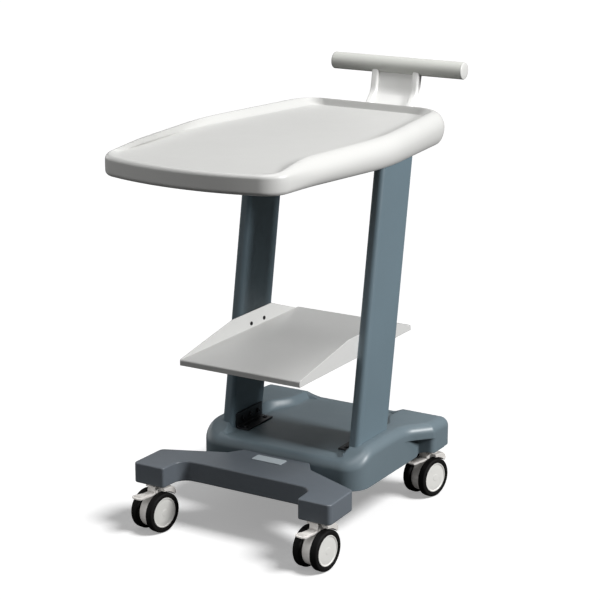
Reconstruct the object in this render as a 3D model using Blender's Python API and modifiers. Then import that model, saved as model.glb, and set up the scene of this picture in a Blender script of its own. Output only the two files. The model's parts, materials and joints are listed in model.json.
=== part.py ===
"""Mobile trolley for an ultrasound machine, as separate pieces.

Units are metres, +Z is up and -Y is the front. The origin is on the floor,
below the middle of the whole trolley. The pieces are in the collection
"ultrasound_trolley" and the cutters in "cutters".
"""
import math

import bmesh
import bpy
from mathutils import Matrix, Vector

# Overall
GAP = 0.0003                # left between pieces that touch

# Casters
WHEEL_RADIUS = 0.0375
WHEEL_WIDTH = 0.0155
WHEEL_OFFSET = 0.01825       # mid-plane of each wheel from the middle of its pair
TREAD_DEPTH = 0.0090
TREAD_DROP = 0.0030         # shoulder of the tread, across and down
TREAD_EDGE = 0.0035
TRAIL = 0.011               # axle ahead of the swivel axis
STEM_X = 0.1705
STEM_Y = 0.2065
AXLE_RADIUS = 0.004
KINGPIN_RADIUS = 0.0045
STEM_RADIUS = 0.0055
STEM_TOP = 0.1165
FLANGE_RADIUS = 0.0165
KINGPIN_END = 0.0700
HOUSING_TOP = 0.0862
CORE_RADIUS = 0.0310
CORE_WIDTH = 0.0200
NECK_RADIUS = 0.0150
FENDER_RADIUS = 0.0400
FENDER_TOP = 0.0452         # above the axle
FENDER_WIDTH = 0.0460
PEDAL_WIDTH = 0.0185
PEDAL_TIP_WIDTH = 0.0230
PEDAL_THICKNESS = 0.0042
PEDAL_REACH = 0.0525        # its tip ahead of the axle
PEDAL_RISE = 0.0020         # its tip above its pivot
PEDAL_PIVOT_Y = -0.0085     # about the axle
PEDAL_PIVOT_Z = 0.0342
KNUCKLE_RADIUS = 0.0030
CASTER_YAW = {
    "front_left": math.radians(-9),
    "front_right": math.radians(-6),
    "rear_left": math.radians(-8),
    "rear_right": math.radians(-12),
}

# Base
BEAM_BOTTOM = 0.0905
BEAM_TOP = 0.1285
FOOT_OUTER_X = 0.206
BEAM_LID = 0.004
BEAM_EDGE = 0.0024
REAR_BEAM_HALF = 0.194
REAR_BEAM_FRONT_Y = 0.180
REAR_BEAM_REAR_Y = 0.222
FRAME_PLATE = 0.005
FRAME_RIB_X = 0.135
FRAME_RIB_WIDTH = 0.006
LABEL_HALF = 0.031
HOOD_FRONT_Y = -0.0765
HOOD_REAR_Y = 0.2285
HOOD_SIDE_X = 0.1725
HOOD_FOOT_X = 0.2030
HOOD_BOTTOM = 0.088
HOOD_FOOT_BOTTOM = 0.099
HOOD_FOOT_FRONT_Y = 0.1575
HOOD_LEDGE = 0.004          # height over which the flare above the rear casters begins
HOOD_TOP = 0.162
HOOD_REAR_TOP = 0.153
HOOD_ROUNDING = 0.025
HOOD_WALL = 0.0035
DECK_TOP = 0.142

# Columns
COLUMN_INNER_X = 0.1245
COLUMN_THICKNESS = 0.0225
COLUMN_WALL = 0.003
COLUMN_DEPTH = 0.111
COLUMN_Y = 0.0219           # middle of the column at COLUMN_Y_HEIGHT
COLUMN_Y_HEIGHT = 0.150
COLUMN_LEAN = 0.169         # metres back for each metre up
COLUMN_EDGE = 0.004         # radius of its rear corners
COLUMN_SLOT_GAP = 0.0004
BRACKET_SHEET = 0.003
BRACKET_FOOT = 0.027
BRACKET_RISE = 0.029
FOOT_BOLT_Y = (0.003, 0.029, 0.055)
FOOT_BOLT_Z = 0.158
FOOT_BOLT_HOLE = 0.0028
FOOT_BOLT_SHANK = 0.0025
FOOT_BOLT_HEAD = 0.0045

# Shelf
SHELF_HALF_WIDTH = COLUMN_INNER_X - GAP
SHELF_SHEET = 0.002
SHELF_FLOOR = 0.3265
SHELF_BOTTOM = 0.3155
SHELF_FRONT_Y = -0.1990
SHELF_REAR_Y = 0.2105
SHELF_SCREW_Y = (0.0345, 0.0795)
SHELF_SCREW_Z = 0.3355
SHELF_SCREW_HOLE = 0.0022
SHELF_SCREW_SHANK = 0.0019
SHELF_SCREW_HEAD = 0.0036
NUT_STRIP = 0.003

# Table
TABLE_FRONT_Y = -0.386
TABLE_REAR_Y = 0.2925
TABLE_RIM_TOP = 0.730
TABLE_FLOOR = 0.717
TABLE_WIDEST_Z = 0.701
TABLE_BOTTOM_FRONT = 0.684
TABLE_BOTTOM_REAR = 0.668
TABLE_WALL = 0.004
TABLE_TOP_ROUNDING = 0.024
TABLE_BOTTOM_ROUNDING = 0.018
UNDERSIDE_INSET = TABLE_BOTTOM_ROUNDING + 0.0046
UNDERSIDE_THICKNESS = 0.003
MOUNT_PLATE = 0.003
RAIL_WIDTH = 0.024
RAIL_X = 0.135
RAIL_FRONT_Y = -0.240
RAIL_REAR_Y = 0.225

# Handle
BAR_RADIUS = 0.0165
BAR_SIDES = 24
BAR_HALF_LENGTH = 0.1385
BAR_WALL = 0.002
BAR_Y = 0.396 - BAR_RADIUS
BAR_Z = 0.7865
CAP_LENGTH = 0.0045
RIB_WIDTH = 0.015
RIB_MIDDLE_X = 0.0440
WEB_RECESS = 0.0065         # web set back from the front of the arms
WEB_REAR_RECESS = 0.0015
ARM_START_Y = 0.2200
CAP_PLUG = 0.010

PARTS = "ultrasound_trolley"
CUTTERS = "cutters"

# Turns an outline drawn in (u, v) and extruded along w into the trolley's axes
FACING = {
    "Z": Matrix.Identity(4),
    "X": Matrix(((0, 0, 1, 0), (1, 0, 0, 0), (0, 1, 0, 0), (0, 0, 0, 1))),
}


# ---------------------------------------------------------------- scene

def clear_scene():
    for item in list(bpy.data.objects):
        bpy.data.objects.remove(item, do_unlink=True)


def collection(name):
    found = bpy.data.collections.get(name)
    if found is None:
        found = bpy.data.collections.new(name)
        bpy.context.scene.collection.children.link(found)
    return found


def material(name, color, roughness, metallic=0.0):
    found = bpy.data.materials.get(name)
    if found is None:
        found = bpy.data.materials.new(name)
        found.use_nodes = True
        shader = found.node_tree.nodes["Principled BSDF"]
        shader.inputs["Base Color"].default_value = (*color, 1)
        shader.inputs["Roughness"].default_value = roughness
        shader.inputs["Metallic"].default_value = metallic
        found.diffuse_color = (*color, 1)
    return found


def white_plastic():
    return material("white_plastic", (0.70, 0.70, 0.68), 0.42)


def grey_plastic():
    return material("grey_plastic", (0.52, 0.52, 0.49), 0.45)


def slate_plastic():
    return material("slate_plastic", (0.115, 0.165, 0.195), 0.45)


def slate_paint():
    return material("slate_paint", (0.10, 0.15, 0.175), 0.38, 0.3)


def shelf_paint():
    return material("shelf_paint", (0.55, 0.55, 0.54), 0.40, 0.2)


def black_steel():
    return material("black_steel", (0.02, 0.022, 0.025), 0.45, 0.6)


def bright_steel():
    return material("bright_steel", (0.62, 0.62, 0.60), 0.28, 1.0)


def caster_plastic():
    return material("caster_plastic", (0.42, 0.40, 0.38), 0.42)


def hub_plastic():
    return material("hub_plastic", (0.70, 0.70, 0.68), 0.38)


def tyre_rubber():
    return material("tyre_rubber", (0.012, 0.012, 0.012), 0.6)


def label_plastic():
    return material("label_plastic", (0.45, 0.47, 0.48), 0.5)


# ---------------------------------------------------------------- outlines

def rounded(corners, steps=4):
    """Outline through (u, v, radius) corners, with an arc at each one."""
    outline = []
    for i, (u, v, radius) in enumerate(corners):
        here = Vector((u, v))
        before = (Vector(corners[i - 1][:2]) - here).normalized()
        after = (Vector(corners[(i + 1) % len(corners)][:2]) - here).normalized()
        half_angle = before.angle(after) / 2
        centre = here + (before + after).normalized() * radius / math.sin(half_angle)
        spoke = here + before * radius / math.tan(half_angle) - centre
        turn = math.pi - 2 * half_angle
        if before.x * after.y - before.y * after.x > 0:
            turn = -turn
        for step in range(steps + 1):
            outline.append(centre + Matrix.Rotation(turn * step / steps, 2) @ spoke)
    return outline


def inset(corners, distance):
    """The same corners moved inwards, on an outline that runs anticlockwise."""
    moved = []
    for i, (u, v, radius) in enumerate(corners):
        here = Vector((u, v))
        arriving = (here - Vector(corners[i - 1][:2])).normalized()
        leaving = (Vector(corners[(i + 1) % len(corners)][:2]) - here).normalized()
        inward = Vector((-arriving.y, arriving.x))
        middle = (inward + Vector((-leaving.y, leaving.x))).normalized()
        spot = here + middle * distance / middle.dot(inward)
        convex = arriving.x * leaving.y - arriving.y * leaving.x > 0
        new_radius = max(radius - distance, 0.001) if convex else radius + distance
        moved.append((spot.x, spot.y, new_radius))
    return moved


def mirrored(half):
    """Closed outline from its +X half, which runs from the front to the rear."""
    return half + [(-u, v, radius) for u, v, radius in reversed(half) if u > 0]


def arc(radius, start, end, steps, centre=(0.0, 0.0)):
    """Points on an arc, with angles in radians from the first axis."""
    points = []
    for step in range(steps + 1):
        angle = start + (end - start) * step / steps
        points.append((centre[0] + radius * math.cos(angle), centre[1] + radius * math.sin(angle)))
    return points


# ---------------------------------------------------------------- solids

def add(name, mesh, finish, parent=None, group=PARTS):
    piece = bpy.data.objects.new(name, mesh)
    collection(group).objects.link(piece)
    if finish and not mesh.materials:
        mesh.materials.append(finish)
    if parent:
        piece.parent = parent
    return piece


def mesh_of(item):
    """The mesh of an object with its modifiers applied; the object is removed."""
    bpy.context.view_layer.update()
    view = bpy.context.evaluated_depsgraph_get()
    mesh = bpy.data.meshes.new_from_object(item.evaluated_get(view))
    mesh.name = item.name
    bpy.data.objects.remove(item, do_unlink=True)
    return mesh


def tidy(mesh, transform=None):
    """Weld loose caps, point all faces outwards and place the mesh."""
    work = bmesh.new()
    work.from_mesh(mesh)
    bmesh.ops.remove_doubles(work, verts=work.verts, dist=1e-6)
    if transform:
        bmesh.ops.transform(work, matrix=transform, verts=work.verts)
    bmesh.ops.recalc_face_normals(work, faces=work.faces)
    work.to_mesh(mesh)
    work.free()
    return mesh


def plate(name, outline, thickness, facing="Z", centre=0.0):
    """Mesh of a flat piece: the outline extruded about a plane across one axis."""
    curve = bpy.data.curves.new(name, "CURVE")
    curve.dimensions = "2D"
    curve.fill_mode = "BOTH"
    curve.extrude = thickness / 2
    spline = curve.splines.new("POLY")
    spline.points.add(len(outline) - 1)
    for point, place in zip(spline.points, outline):
        point.co = (place[0], place[1], 0, 1)
    spline.use_cyclic_u = True
    guide = bpy.data.objects.new(name, curve)
    bpy.context.scene.collection.objects.link(guide)
    along = Matrix.Translation((0, 0, centre))
    return tidy(mesh_of(guide), FACING[facing] @ along)


def box(name, low, high):
    """Mesh of a box between two corners."""
    work = bmesh.new()
    bmesh.ops.create_cube(work, size=1)
    size = Vector(high) - Vector(low)
    middle = (Vector(high) + Vector(low)) / 2
    place = Matrix.Translation(middle) @ Matrix.Diagonal((*size, 1))
    bmesh.ops.transform(work, matrix=place, verts=work.verts)
    mesh = bpy.data.meshes.new(name)
    work.to_mesh(mesh)
    work.free()
    return mesh


def rod(name, radius, start, end, segments=12):
    """Mesh of a cylinder between two points."""
    start = Vector(start)
    along = Vector(end) - start
    turn = along.to_track_quat("Z", "Y").to_matrix().to_4x4()
    work = bmesh.new()
    bmesh.ops.create_cone(work, cap_ends=True, segments=segments, radius1=radius,
                          radius2=radius, depth=along.length)
    bmesh.ops.transform(work, matrix=Matrix.Translation(start + along / 2) @ turn, verts=work.verts)
    mesh = bpy.data.meshes.new(name)
    work.to_mesh(mesh)
    work.free()
    return mesh


def stack(name, rings, tube=False):
    """Mesh lofted through rings of equal length, which all run the same way.

    The ends are capped, or the last ring joins the first one in a tube.
    """
    work = bmesh.new()
    rows = [[work.verts.new(point) for point in ring] for ring in rings]
    if tube:
        rows.append(rows[0])
    for lower, upper in zip(rows, rows[1:]):
        for i in range(len(lower)):
            work.faces.new((lower[i - 1], lower[i], upper[i], upper[i - 1]))
    if not tube:
        work.faces.new(rows[0])
        work.faces.new(rows[-1])
    mesh = bpy.data.meshes.new(name)
    work.to_mesh(mesh)
    work.free()
    return tidy(mesh)


def turned(name, profile, steps, closed=False):
    """Mesh turned about Z from a profile of (radius, z) points."""
    mesh = bpy.data.meshes.new(name)
    edges = [(i, i + 1) for i in range(len(profile) - 1)]
    if closed:
        edges.append((len(profile) - 1, 0))
    mesh.from_pydata([(radius, 0, z) for radius, z in profile], edges, [])
    guide = bpy.data.objects.new(name, mesh)
    bpy.context.scene.collection.objects.link(guide)
    screw = guide.modifiers.new("turn", "SCREW")
    screw.steps = steps
    screw.render_steps = steps
    screw.use_merge_vertices = True
    screw.merge_threshold = 0.00001
    return tidy(mesh_of(guide))


def slab(name, corners, low, high, rounding, steps=4):
    """Mesh of a level slab whose upper and lower edges are rounded."""
    rings = []
    for level, inward in ((low, 1), (high, -1)):
        for distance, height in ((rounding, 0), (0.3 * rounding, 0.3 * rounding), (0, rounding)):
            outline = rounded(inset(corners, distance), steps)
            ring = [(x, y, level + inward * height) for x, y in outline]
            rings.append(ring)
    return stack(name, rings[:3] + rings[:2:-1])


def cutter(mesh):
    tool = add(mesh.name, mesh, None, group=CUTTERS)
    tool.display_type = "WIRE"
    tool.hide_render = True
    return tool


def combine(piece, mesh, operation):
    """Cut a mesh out of a piece (DIFFERENCE) or join it on (UNION)."""
    tool = cutter(mesh)
    step = piece.modifiers.new(mesh.name, "BOOLEAN")
    step.operation = operation
    step.solver = "EXACT"
    step.object = tool
    return piece


def cut(piece, *meshes):
    for mesh in meshes:
        combine(piece, mesh, "DIFFERENCE")
    return piece


def join(piece, *meshes):
    for mesh in meshes:
        combine(piece, mesh, "UNION")
    return piece


def smooth(piece, angle=35):
    piece.data.shade_smooth()
    piece.data.set_sharp_from_angle(angle=math.radians(angle))
    return piece


def point_empty(name, place, yaw=0.0, parent=None):
    """Empty that marks a joint's axis."""
    mark = bpy.data.objects.new(name, None)
    mark.empty_display_size = 0.02
    collection(PARTS).objects.link(mark)
    mark.location = place
    mark.rotation_euler = (0, 0, yaw)
    mark.parent = parent
    return mark


# ---------------------------------------------------------------- casters

def around(radius, sides):
    """Radius of a faceted hole that a turned pin of the same number of sides clears."""
    return radius / math.cos(math.pi / sides) + 0.0002


def tyre_mesh():
    half = WHEEL_WIDTH / 2
    inner = WHEEL_RADIUS - TREAD_DEPTH
    profile = [
        (WHEEL_RADIUS - TREAD_DROP, half),
        (WHEEL_RADIUS, half - TREAD_EDGE),
        (WHEEL_RADIUS, TREAD_EDGE - half),
        (WHEEL_RADIUS - TREAD_DROP, -half),
        (inner, -half),
        (inner, half),
    ]
    return turned("tyre", profile, 24, closed=True)


def hub_mesh():
    """Domed disc with a blind bore for the axle in its inner face."""
    half = WHEEL_WIDTH / 2
    rim = WHEEL_RADIUS - TREAD_DEPTH - GAP
    bore = around(AXLE_RADIUS, 12)
    profile = [
        (0, half - 0.0002),
        (0.020, half - 0.0008),
        (rim, half - 0.0030),
        (rim, 0.0005 - half),
        (0.011, 0.0005 - half),
        (0.009, -half),
        (bore, -half),
        (bore, 0.0010),
        (0, 0.0010),
    ]
    return turned("hub", profile, 24)


def housing_outline():
    """Side view of the core between the wheels, about the axle, in (y, z)."""
    neck_front = PEDAL_PIVOT_Y
    neck_rear = TRAIL + 0.0125
    top = HOUSING_TOP - WHEEL_RADIUS
    lower = arc(CORE_RADIUS, math.radians(130), math.radians(372), 16)
    return [(neck_rear, 0.030), (neck_rear, top), (neck_front, top), (neck_front, 0.040)] + lower


def fender_outline():
    """Side view of the hood over both wheels, about the axle, in (y, z)."""
    under = arc(FENDER_RADIUS, math.radians(88), math.radians(44), 6)
    over = [(0.0330, 0.0320), (0.0315, 0.0385), (0.0270, 0.0430)]
    return under + over + [(0.0210, FENDER_TOP), (0.0035, FENDER_TOP)]


def housing_mesh():
    """Caster body, about the axle: core, hood over the wheels and swivel neck."""
    core = add("caster_core", plate("caster_core", housing_outline(), CORE_WIDTH, "X"), None)
    top = HOUSING_TOP - WHEEL_RADIUS
    join(core, plate("fender", fender_outline(), FENDER_WIDTH, "X"))
    join(core, rod("neck", NECK_RADIUS, (0, TRAIL, 0.040), (0, TRAIL, top), 20))
    pivot = (PEDAL_PIVOT_Y, PEDAL_PIVOT_Z)
    low = KINGPIN_END - WHEEL_RADIUS - 0.0005
    cut(
        core,
        rod("kingpin_hole", around(KINGPIN_RADIUS, 16), (0, TRAIL, low), (0, TRAIL, top + 0.01), 16),
        rod("axle_hole", around(AXLE_RADIUS, 12), (-0.02, 0, 0), (0.02, 0, 0), 12),
        rod("knuckle_groove", KNUCKLE_RADIUS + 0.0005, (-0.03, *pivot), (0.03, *pivot), 12),
        box("pedal_clearance", (-0.03, -0.05, pivot[1] - 0.004), (0.03, pivot[0] - 0.0004, 0.060)),
    )
    return tidy(mesh_of(core))


def pedal_side(start, half, root_radius):
    """Side view of the pedal's tongue about its pivot, from start to its tip."""
    tip = -PEDAL_REACH - PEDAL_PIVOT_Y
    bend = 0.45 * tip
    lift = PEDAL_RISE * (0 if start > bend else 0.2)
    middle = [] if start < bend else [bend]
    upper = [(start, half + lift, root_radius)]
    upper += [(y, half, 0.030) for y in middle]
    lower = [(y, z - 2 * half, radius) for y, z, radius in reversed(upper)]
    end = [(tip, half + PEDAL_RISE, 0.0018), (tip, PEDAL_RISE - half, 0.0018)]
    return rounded(upper + end + lower, 3)


def pedal_mesh():
    """Brake pedal about its pivot, which is parallel to the axle: a tongue to the front."""
    half = PEDAL_THICKNESS / 2
    lever = add("pedal", plate("pedal", pedal_side(-0.0005, half, 0.0005), PEDAL_WIDTH, "X"), None)
    blade = pedal_side(-0.0250, half + 0.0004, 0.0010)
    join(lever, plate("pedal_tip", blade, PEDAL_TIP_WIDTH, "X"))
    reach = PEDAL_WIDTH / 2 - 0.0004
    join(lever, rod("knuckle", KNUCKLE_RADIUS, (-reach, 0, 0), (reach, 0, 0), 12))
    return tidy(mesh_of(lever))


def stem_mesh():
    """Threaded stem, flange and kingpin, about the swivel axis on the floor."""
    flange_top = BEAM_BOTTOM - GAP
    profile = [
        (0, STEM_TOP),
        (STEM_RADIUS - 0.0008, STEM_TOP),
        (STEM_RADIUS, STEM_TOP - 0.0010),
        (STEM_RADIUS, flange_top),
        (FLANGE_RADIUS, flange_top),
        (FLANGE_RADIUS, HOUSING_TOP + GAP),
        (KINGPIN_RADIUS, HOUSING_TOP + GAP),
        (KINGPIN_RADIUS, KINGPIN_END),
        (0, KINGPIN_END),
    ]
    return turned("stem", profile, 16)


def caster_places():
    """Name, X and Y of the four swivel axes."""
    for end, y in (("front", -STEM_Y), ("rear", STEM_Y)):
        for side, x in (("left", -STEM_X), ("right", STEM_X)):
            yield f"{end}_{side}", x, y


def build_casters():
    tyre = tyre_mesh()
    hub = hub_mesh()
    housing = housing_mesh()
    pedal = pedal_mesh()
    stem = stem_mesh()
    reach = WHEEL_OFFSET + GAP
    axle = rod("axle", AXLE_RADIUS, (-reach, 0, 0), (reach, 0, 0), 12)
    for corner, x, y in caster_places():
        fixed = smooth(add(f"{corner}_caster_stem", stem, bright_steel()))
        fixed.location = (x, y, 0)
        swivel = point_empty(f"{corner}_swivel", (x, y, 0), CASTER_YAW[corner])
        centre = point_empty(f"{corner}_axle_line", (0, -TRAIL, WHEEL_RADIUS), parent=swivel)
        smooth(add(f"{corner}_caster_housing", housing, caster_plastic(), centre))
        smooth(add(f"{corner}_caster_axle", axle, bright_steel(), centre))
        brake = smooth(add(f"{corner}_brake_pedal", pedal, caster_plastic(), centre))
        brake.location = (0, PEDAL_PIVOT_Y, PEDAL_PIVOT_Z)
        for side, direction in (("left", -1), ("right", 1)):
            for part, mesh, finish in (("tyre", tyre, tyre_rubber()), ("hub", hub, hub_plastic())):
                wheel = smooth(add(f"{corner}_{side}_{part}", mesh, finish, centre))
                wheel.location = (direction * WHEEL_OFFSET, 0, 0)
                wheel.rotation_euler = (0, direction * math.pi / 2, 0)


# ---------------------------------------------------------------- base

def front_beam_corners():
    return mirrored([
        (0.1000, -0.1785, 0.100),
        (0.1370, -0.1810, 0.023),
        (0.1405, -0.2350, 0.004),
        (FOOT_OUTER_X, -0.2350, 0.007),
        (0.2035, -0.1500, 0.010),
        (0.0890, -0.1015, 0.004),
        (0.0720, -0.0765, 0.003),
        (0.0720, -0.0350, 0.004),
    ])


def front_beam_hollow():
    """Underside pocket between the feet, which leaves walls and a lid."""
    corners = mirrored([
        (0.1080, -0.1705, 0.004),
        (0.1400, -0.1530, 0.006),
        (0.0840, -0.1070, 0.004),
        (0.0660, -0.0830, 0.004),
        (0.0660, -0.0410, 0.004),
    ])
    low, high = 0.06, BEAM_TOP - BEAM_LID
    return plate("front_beam_hollow", rounded(corners, 2), high - low, centre=(low + high) / 2)


def stem_holes(end_y):
    end = STEM_TOP + 0.0007
    return [
        rod(f"stem_hole_{end_y}_{x}", around(STEM_RADIUS, 16), (x, end_y, 0.05), (x, end_y, end), 16)
        for x in (-STEM_X, STEM_X)
    ]


def build_front_beam():
    mesh = slab("front_beam", front_beam_corners(), BEAM_BOTTOM, BEAM_TOP, BEAM_EDGE)
    beam = add("front_beam", mesh, slate_paint())
    cut(beam, front_beam_hollow(), *stem_holes(-STEM_Y))
    smooth(beam)


def build_rear_beam():
    """Inverted channel that carries the rear casters, inside the hood."""
    low = (-REAR_BEAM_HALF, REAR_BEAM_FRONT_Y, BEAM_BOTTOM)
    high = (REAR_BEAM_HALF, REAR_BEAM_REAR_Y, BEAM_TOP)
    beam = add("rear_beam", box("rear_beam", low, high), slate_paint())
    hollow_half = REAR_BEAM_HALF - 0.046
    hollow = box(
        "rear_beam_hollow",
        (-hollow_half, REAR_BEAM_FRONT_Y + BEAM_LID, 0.05),
        (hollow_half, REAR_BEAM_REAR_Y - BEAM_LID, BEAM_TOP - BEAM_LID),
    )
    cut(beam, hollow, *stem_holes(STEM_Y))


def build_base_frame():
    """Steel plate with two stiffening ribs, which ties the beams and columns."""
    corners = mirrored([(0.150, -0.0640, 0.035), (0.160, 0.0200, 0.02), (0.160, 0.2180, 0.01)])
    low = BEAM_TOP + GAP
    plate_mesh = plate("base_frame", rounded(corners), FRAME_PLATE, centre=low + FRAME_PLATE / 2)
    frame = add("base_frame", plate_mesh, slate_paint())
    for side in (-1, 1):
        middle = side * FRAME_RIB_X
        left, right = middle - FRAME_RIB_WIDTH / 2, middle + FRAME_RIB_WIDTH / 2
        rib = box(f"frame_rib_{side}", (left, -0.050, 0.100), (right, 0.165, low + 0.001))
        join(frame, rib)


def hood_corners(flared):
    concave = (HOOD_SIDE_X, 0.110, 0.050) if flared else (HOOD_SIDE_X, 0.1525, 0.004)
    return mirrored([
        (HOOD_SIDE_X, HOOD_FRONT_Y, 0.042),
        concave,
        (HOOD_FOOT_X, HOOD_FOOT_FRONT_Y, 0.010),
        (HOOD_FOOT_X, HOOD_REAR_Y, 0.014),
    ])


def hood_top(y):
    """Height of the hood's shoulders, which dip to the deck and fall to the rear."""
    share = min(max((y - HOOD_FRONT_Y) / 0.060, 0), 1)
    back = min(max((y - 0.060) / (HOOD_REAR_Y - 0.060), 0), 1)
    top = HOOD_TOP + (HOOD_REAR_TOP - HOOD_TOP) * back
    return DECK_TOP + (top - DECK_TOP) * share * share * (3 - 2 * share)


def hood_rings(wall, bottom, highest):
    """Rings of the hood's surface, or of its inside when wall isn't zero."""
    def ring(corners, distance, height):
        outline = rounded(inset(corners, distance + wall))
        return [(x, y, min(height(y), highest)) for x, y in outline]

    step = hood_corners(flared=False)
    flare = hood_corners(flared=True)
    below_flare = HOOD_ROUNDING + HOOD_LEDGE
    rings = [ring(step, 0, lambda y: bottom), ring(step, 0, lambda y: hood_top(y) - below_flare)]
    for angle in [math.radians(18 * i) for i in range(6)]:
        distance = HOOD_ROUNDING * (1 - math.cos(angle))
        drop = HOOD_ROUNDING * (1 - math.sin(angle)) + wall
        rings.append(ring(flare, distance, lambda y, drop=drop: hood_top(y) - drop))
    rings.append(ring(flare, 2 * HOOD_ROUNDING, lambda y: hood_top(y) - wall))
    return rings


def deck_recess():
    corners = mirrored([
        (0.1262, -0.120, 0.002),
        (0.1262, 0.105, 0.030),
        (0.1000, 0.160, 0.030),
        (0.1000, 0.260, 0.002),
    ])
    return plate("deck_recess", rounded(corners, 3), 0.060, centre=DECK_TOP + 0.030)


def column_outline(z, grow=0.0, side=1):
    """Level section of a column: a full round front edge and a squarer rear."""
    half = COLUMN_THICKNESS / 2 + grow
    middle_x = COLUMN_INNER_X + COLUMN_THICKNESS / 2
    middle_y = COLUMN_Y + COLUMN_LEAN * (z - COLUMN_Y_HEIGHT)
    reach = COLUMN_DEPTH / 2 + grow
    rear_radius = max(COLUMN_EDGE + grow, 0.001)
    corners = [
        (half, -reach, half * 0.8),
        (half, reach, rear_radius),
        (-half, reach, rear_radius),
        (-half, -reach, half * 0.8),
    ]
    return [(side * (middle_x + x), middle_y + y) for x, y in rounded(corners, 4)]


def column_slots():
    slots = []
    for side in (-1, 1):
        rings = [
            [(x, y, z) for x, y in column_outline(z, COLUMN_SLOT_GAP, side)]
            for z in (0.100, 0.220)
        ]
        slots.append(stack(f"column_slot_{side}", rings))
    return slots


def build_base_hood():
    hood = add("base_hood", stack("base_hood", hood_rings(0, HOOD_BOTTOM, 1.0)), slate_plastic())
    ceiling = DECK_TOP - HOOD_WALL
    cut(
        hood,
        stack("hood_inside", hood_rings(HOOD_WALL, HOOD_BOTTOM - 0.02, ceiling)),
        deck_recess(),
        box("hood_foot_underside", (-0.25, 0.1550, 0.05), (0.25, 0.25, HOOD_FOOT_BOTTOM)),
        box("front_beam_notch", (-0.0726, -0.10, 0.05), (0.0726, -0.06, BEAM_TOP + GAP)),
        *column_slots(),
    )
    smooth(hood)


def build_label_plate():
    low = BEAM_TOP + GAP
    mesh = box("label_plate", (-LABEL_HALF, -0.1115, low), (LABEL_HALF, -0.0875, low + 0.001))
    add("label_plate", mesh, label_plastic())


# ---------------------------------------------------------------- columns

def table_bottom(y):
    share = (y - TABLE_FRONT_Y) / (TABLE_REAR_Y - TABLE_FRONT_Y)
    return TABLE_BOTTOM_FRONT + (TABLE_BOTTOM_REAR - TABLE_BOTTOM_FRONT) * share


def column_rings(side, grow):
    """Bottom and top ring of a column; the top follows the table's underside."""
    low = BEAM_TOP + GAP + FRAME_PLATE + GAP
    below = MOUNT_PLATE + 2 * GAP
    middle = 0.668
    bottom = [(x, y, low) for x, y in column_outline(low, grow, side)]
    top = [(x, y, table_bottom(y) - below) for x, y in column_outline(middle, grow, side)]
    return bottom, top


def fastener_holes(side, label, places, radius):
    """Cutters for holes through a column's inner wall and what is fixed to it."""
    start, end = side * (COLUMN_INNER_X - 0.0245), side * (COLUMN_INNER_X + 2 * COLUMN_WALL)
    return [
        rod(f"{label}_{side}_{i}", radius, (start, y, z), (end, y, z))
        for i, (y, z) in enumerate(places)
    ]


def foot_bolt_places():
    return [(y, FOOT_BOLT_Z) for y in FOOT_BOLT_Y]


def shelf_screw_places():
    return [(y, SHELF_SCREW_Z) for y in SHELF_SCREW_Y]


def build_columns():
    for name, side in (("left", -1), ("right", 1)):
        outer_low, outer_top = column_rings(side, 0)
        inner_low, inner_top = column_rings(side, -COLUMN_WALL)
        mesh = stack(f"{name}_column", [outer_low, outer_top, inner_top, inner_low], tube=True)
        column = add(f"{name}_column", mesh, slate_paint())
        cut(column, *fastener_holes(side, "column_foot_hole", foot_bolt_places(), FOOT_BOLT_HOLE))
        cut(column, *fastener_holes(side, "column_shelf_hole", shelf_screw_places(), SHELF_SCREW_HOLE))
        smooth(column)


def build_mount_plates():
    """Plate on top of each column, which bolts up into the table's rails."""
    for name, side in (("left", -1), ("right", 1)):
        corners = [
            (0.151, 0.052, 0.006),
            (0.151, 0.172, 0.006),
            (0.119, 0.172, 0.006),
            (0.119, 0.052, 0.006),
        ]
        outline = [(side * x, y) for x, y in rounded(corners, 2)]
        rings = [
            [(x, y, table_bottom(y) - GAP - drop) for x, y in outline]
            for drop in (MOUNT_PLATE, 0)
        ]
        add(f"{name}_column_mount_plate", stack(f"{name}_mount_plate", rings), black_steel())


def fixing(name, side, places, head, shank, head_face, finish):
    """Screws through a column's wall into a nut strip inside it, as one piece."""
    margin = 0.007
    y_low, y_high = places[0][0] - margin, places[-1][0] + margin
    z_low, z_high = places[0][1] - margin, places[0][1] + margin
    head_depth = 0.6 * head
    inside = COLUMN_INNER_X + COLUMN_WALL + GAP
    ends = sorted((side * inside, side * (inside + NUT_STRIP)))
    strip = box(name, (ends[0], y_low, z_low), (ends[1], y_high, z_high))
    piece = add(name, strip, finish)
    for i, (y, z) in enumerate(places):
        tip = (side * (inside + 0.001), y, z)
        seat = (side * head_face, y, z)
        crown = (side * (head_face - head_depth), y, z)
        overlap = (side * (head_face - head_depth / 2), y, z)
        join(piece, rod(f"{name}_shank_{i}", shank, overlap, tip))
        join(piece, rod(f"{name}_head_{i}", head, crown, seat, 12))
    return piece


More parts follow.
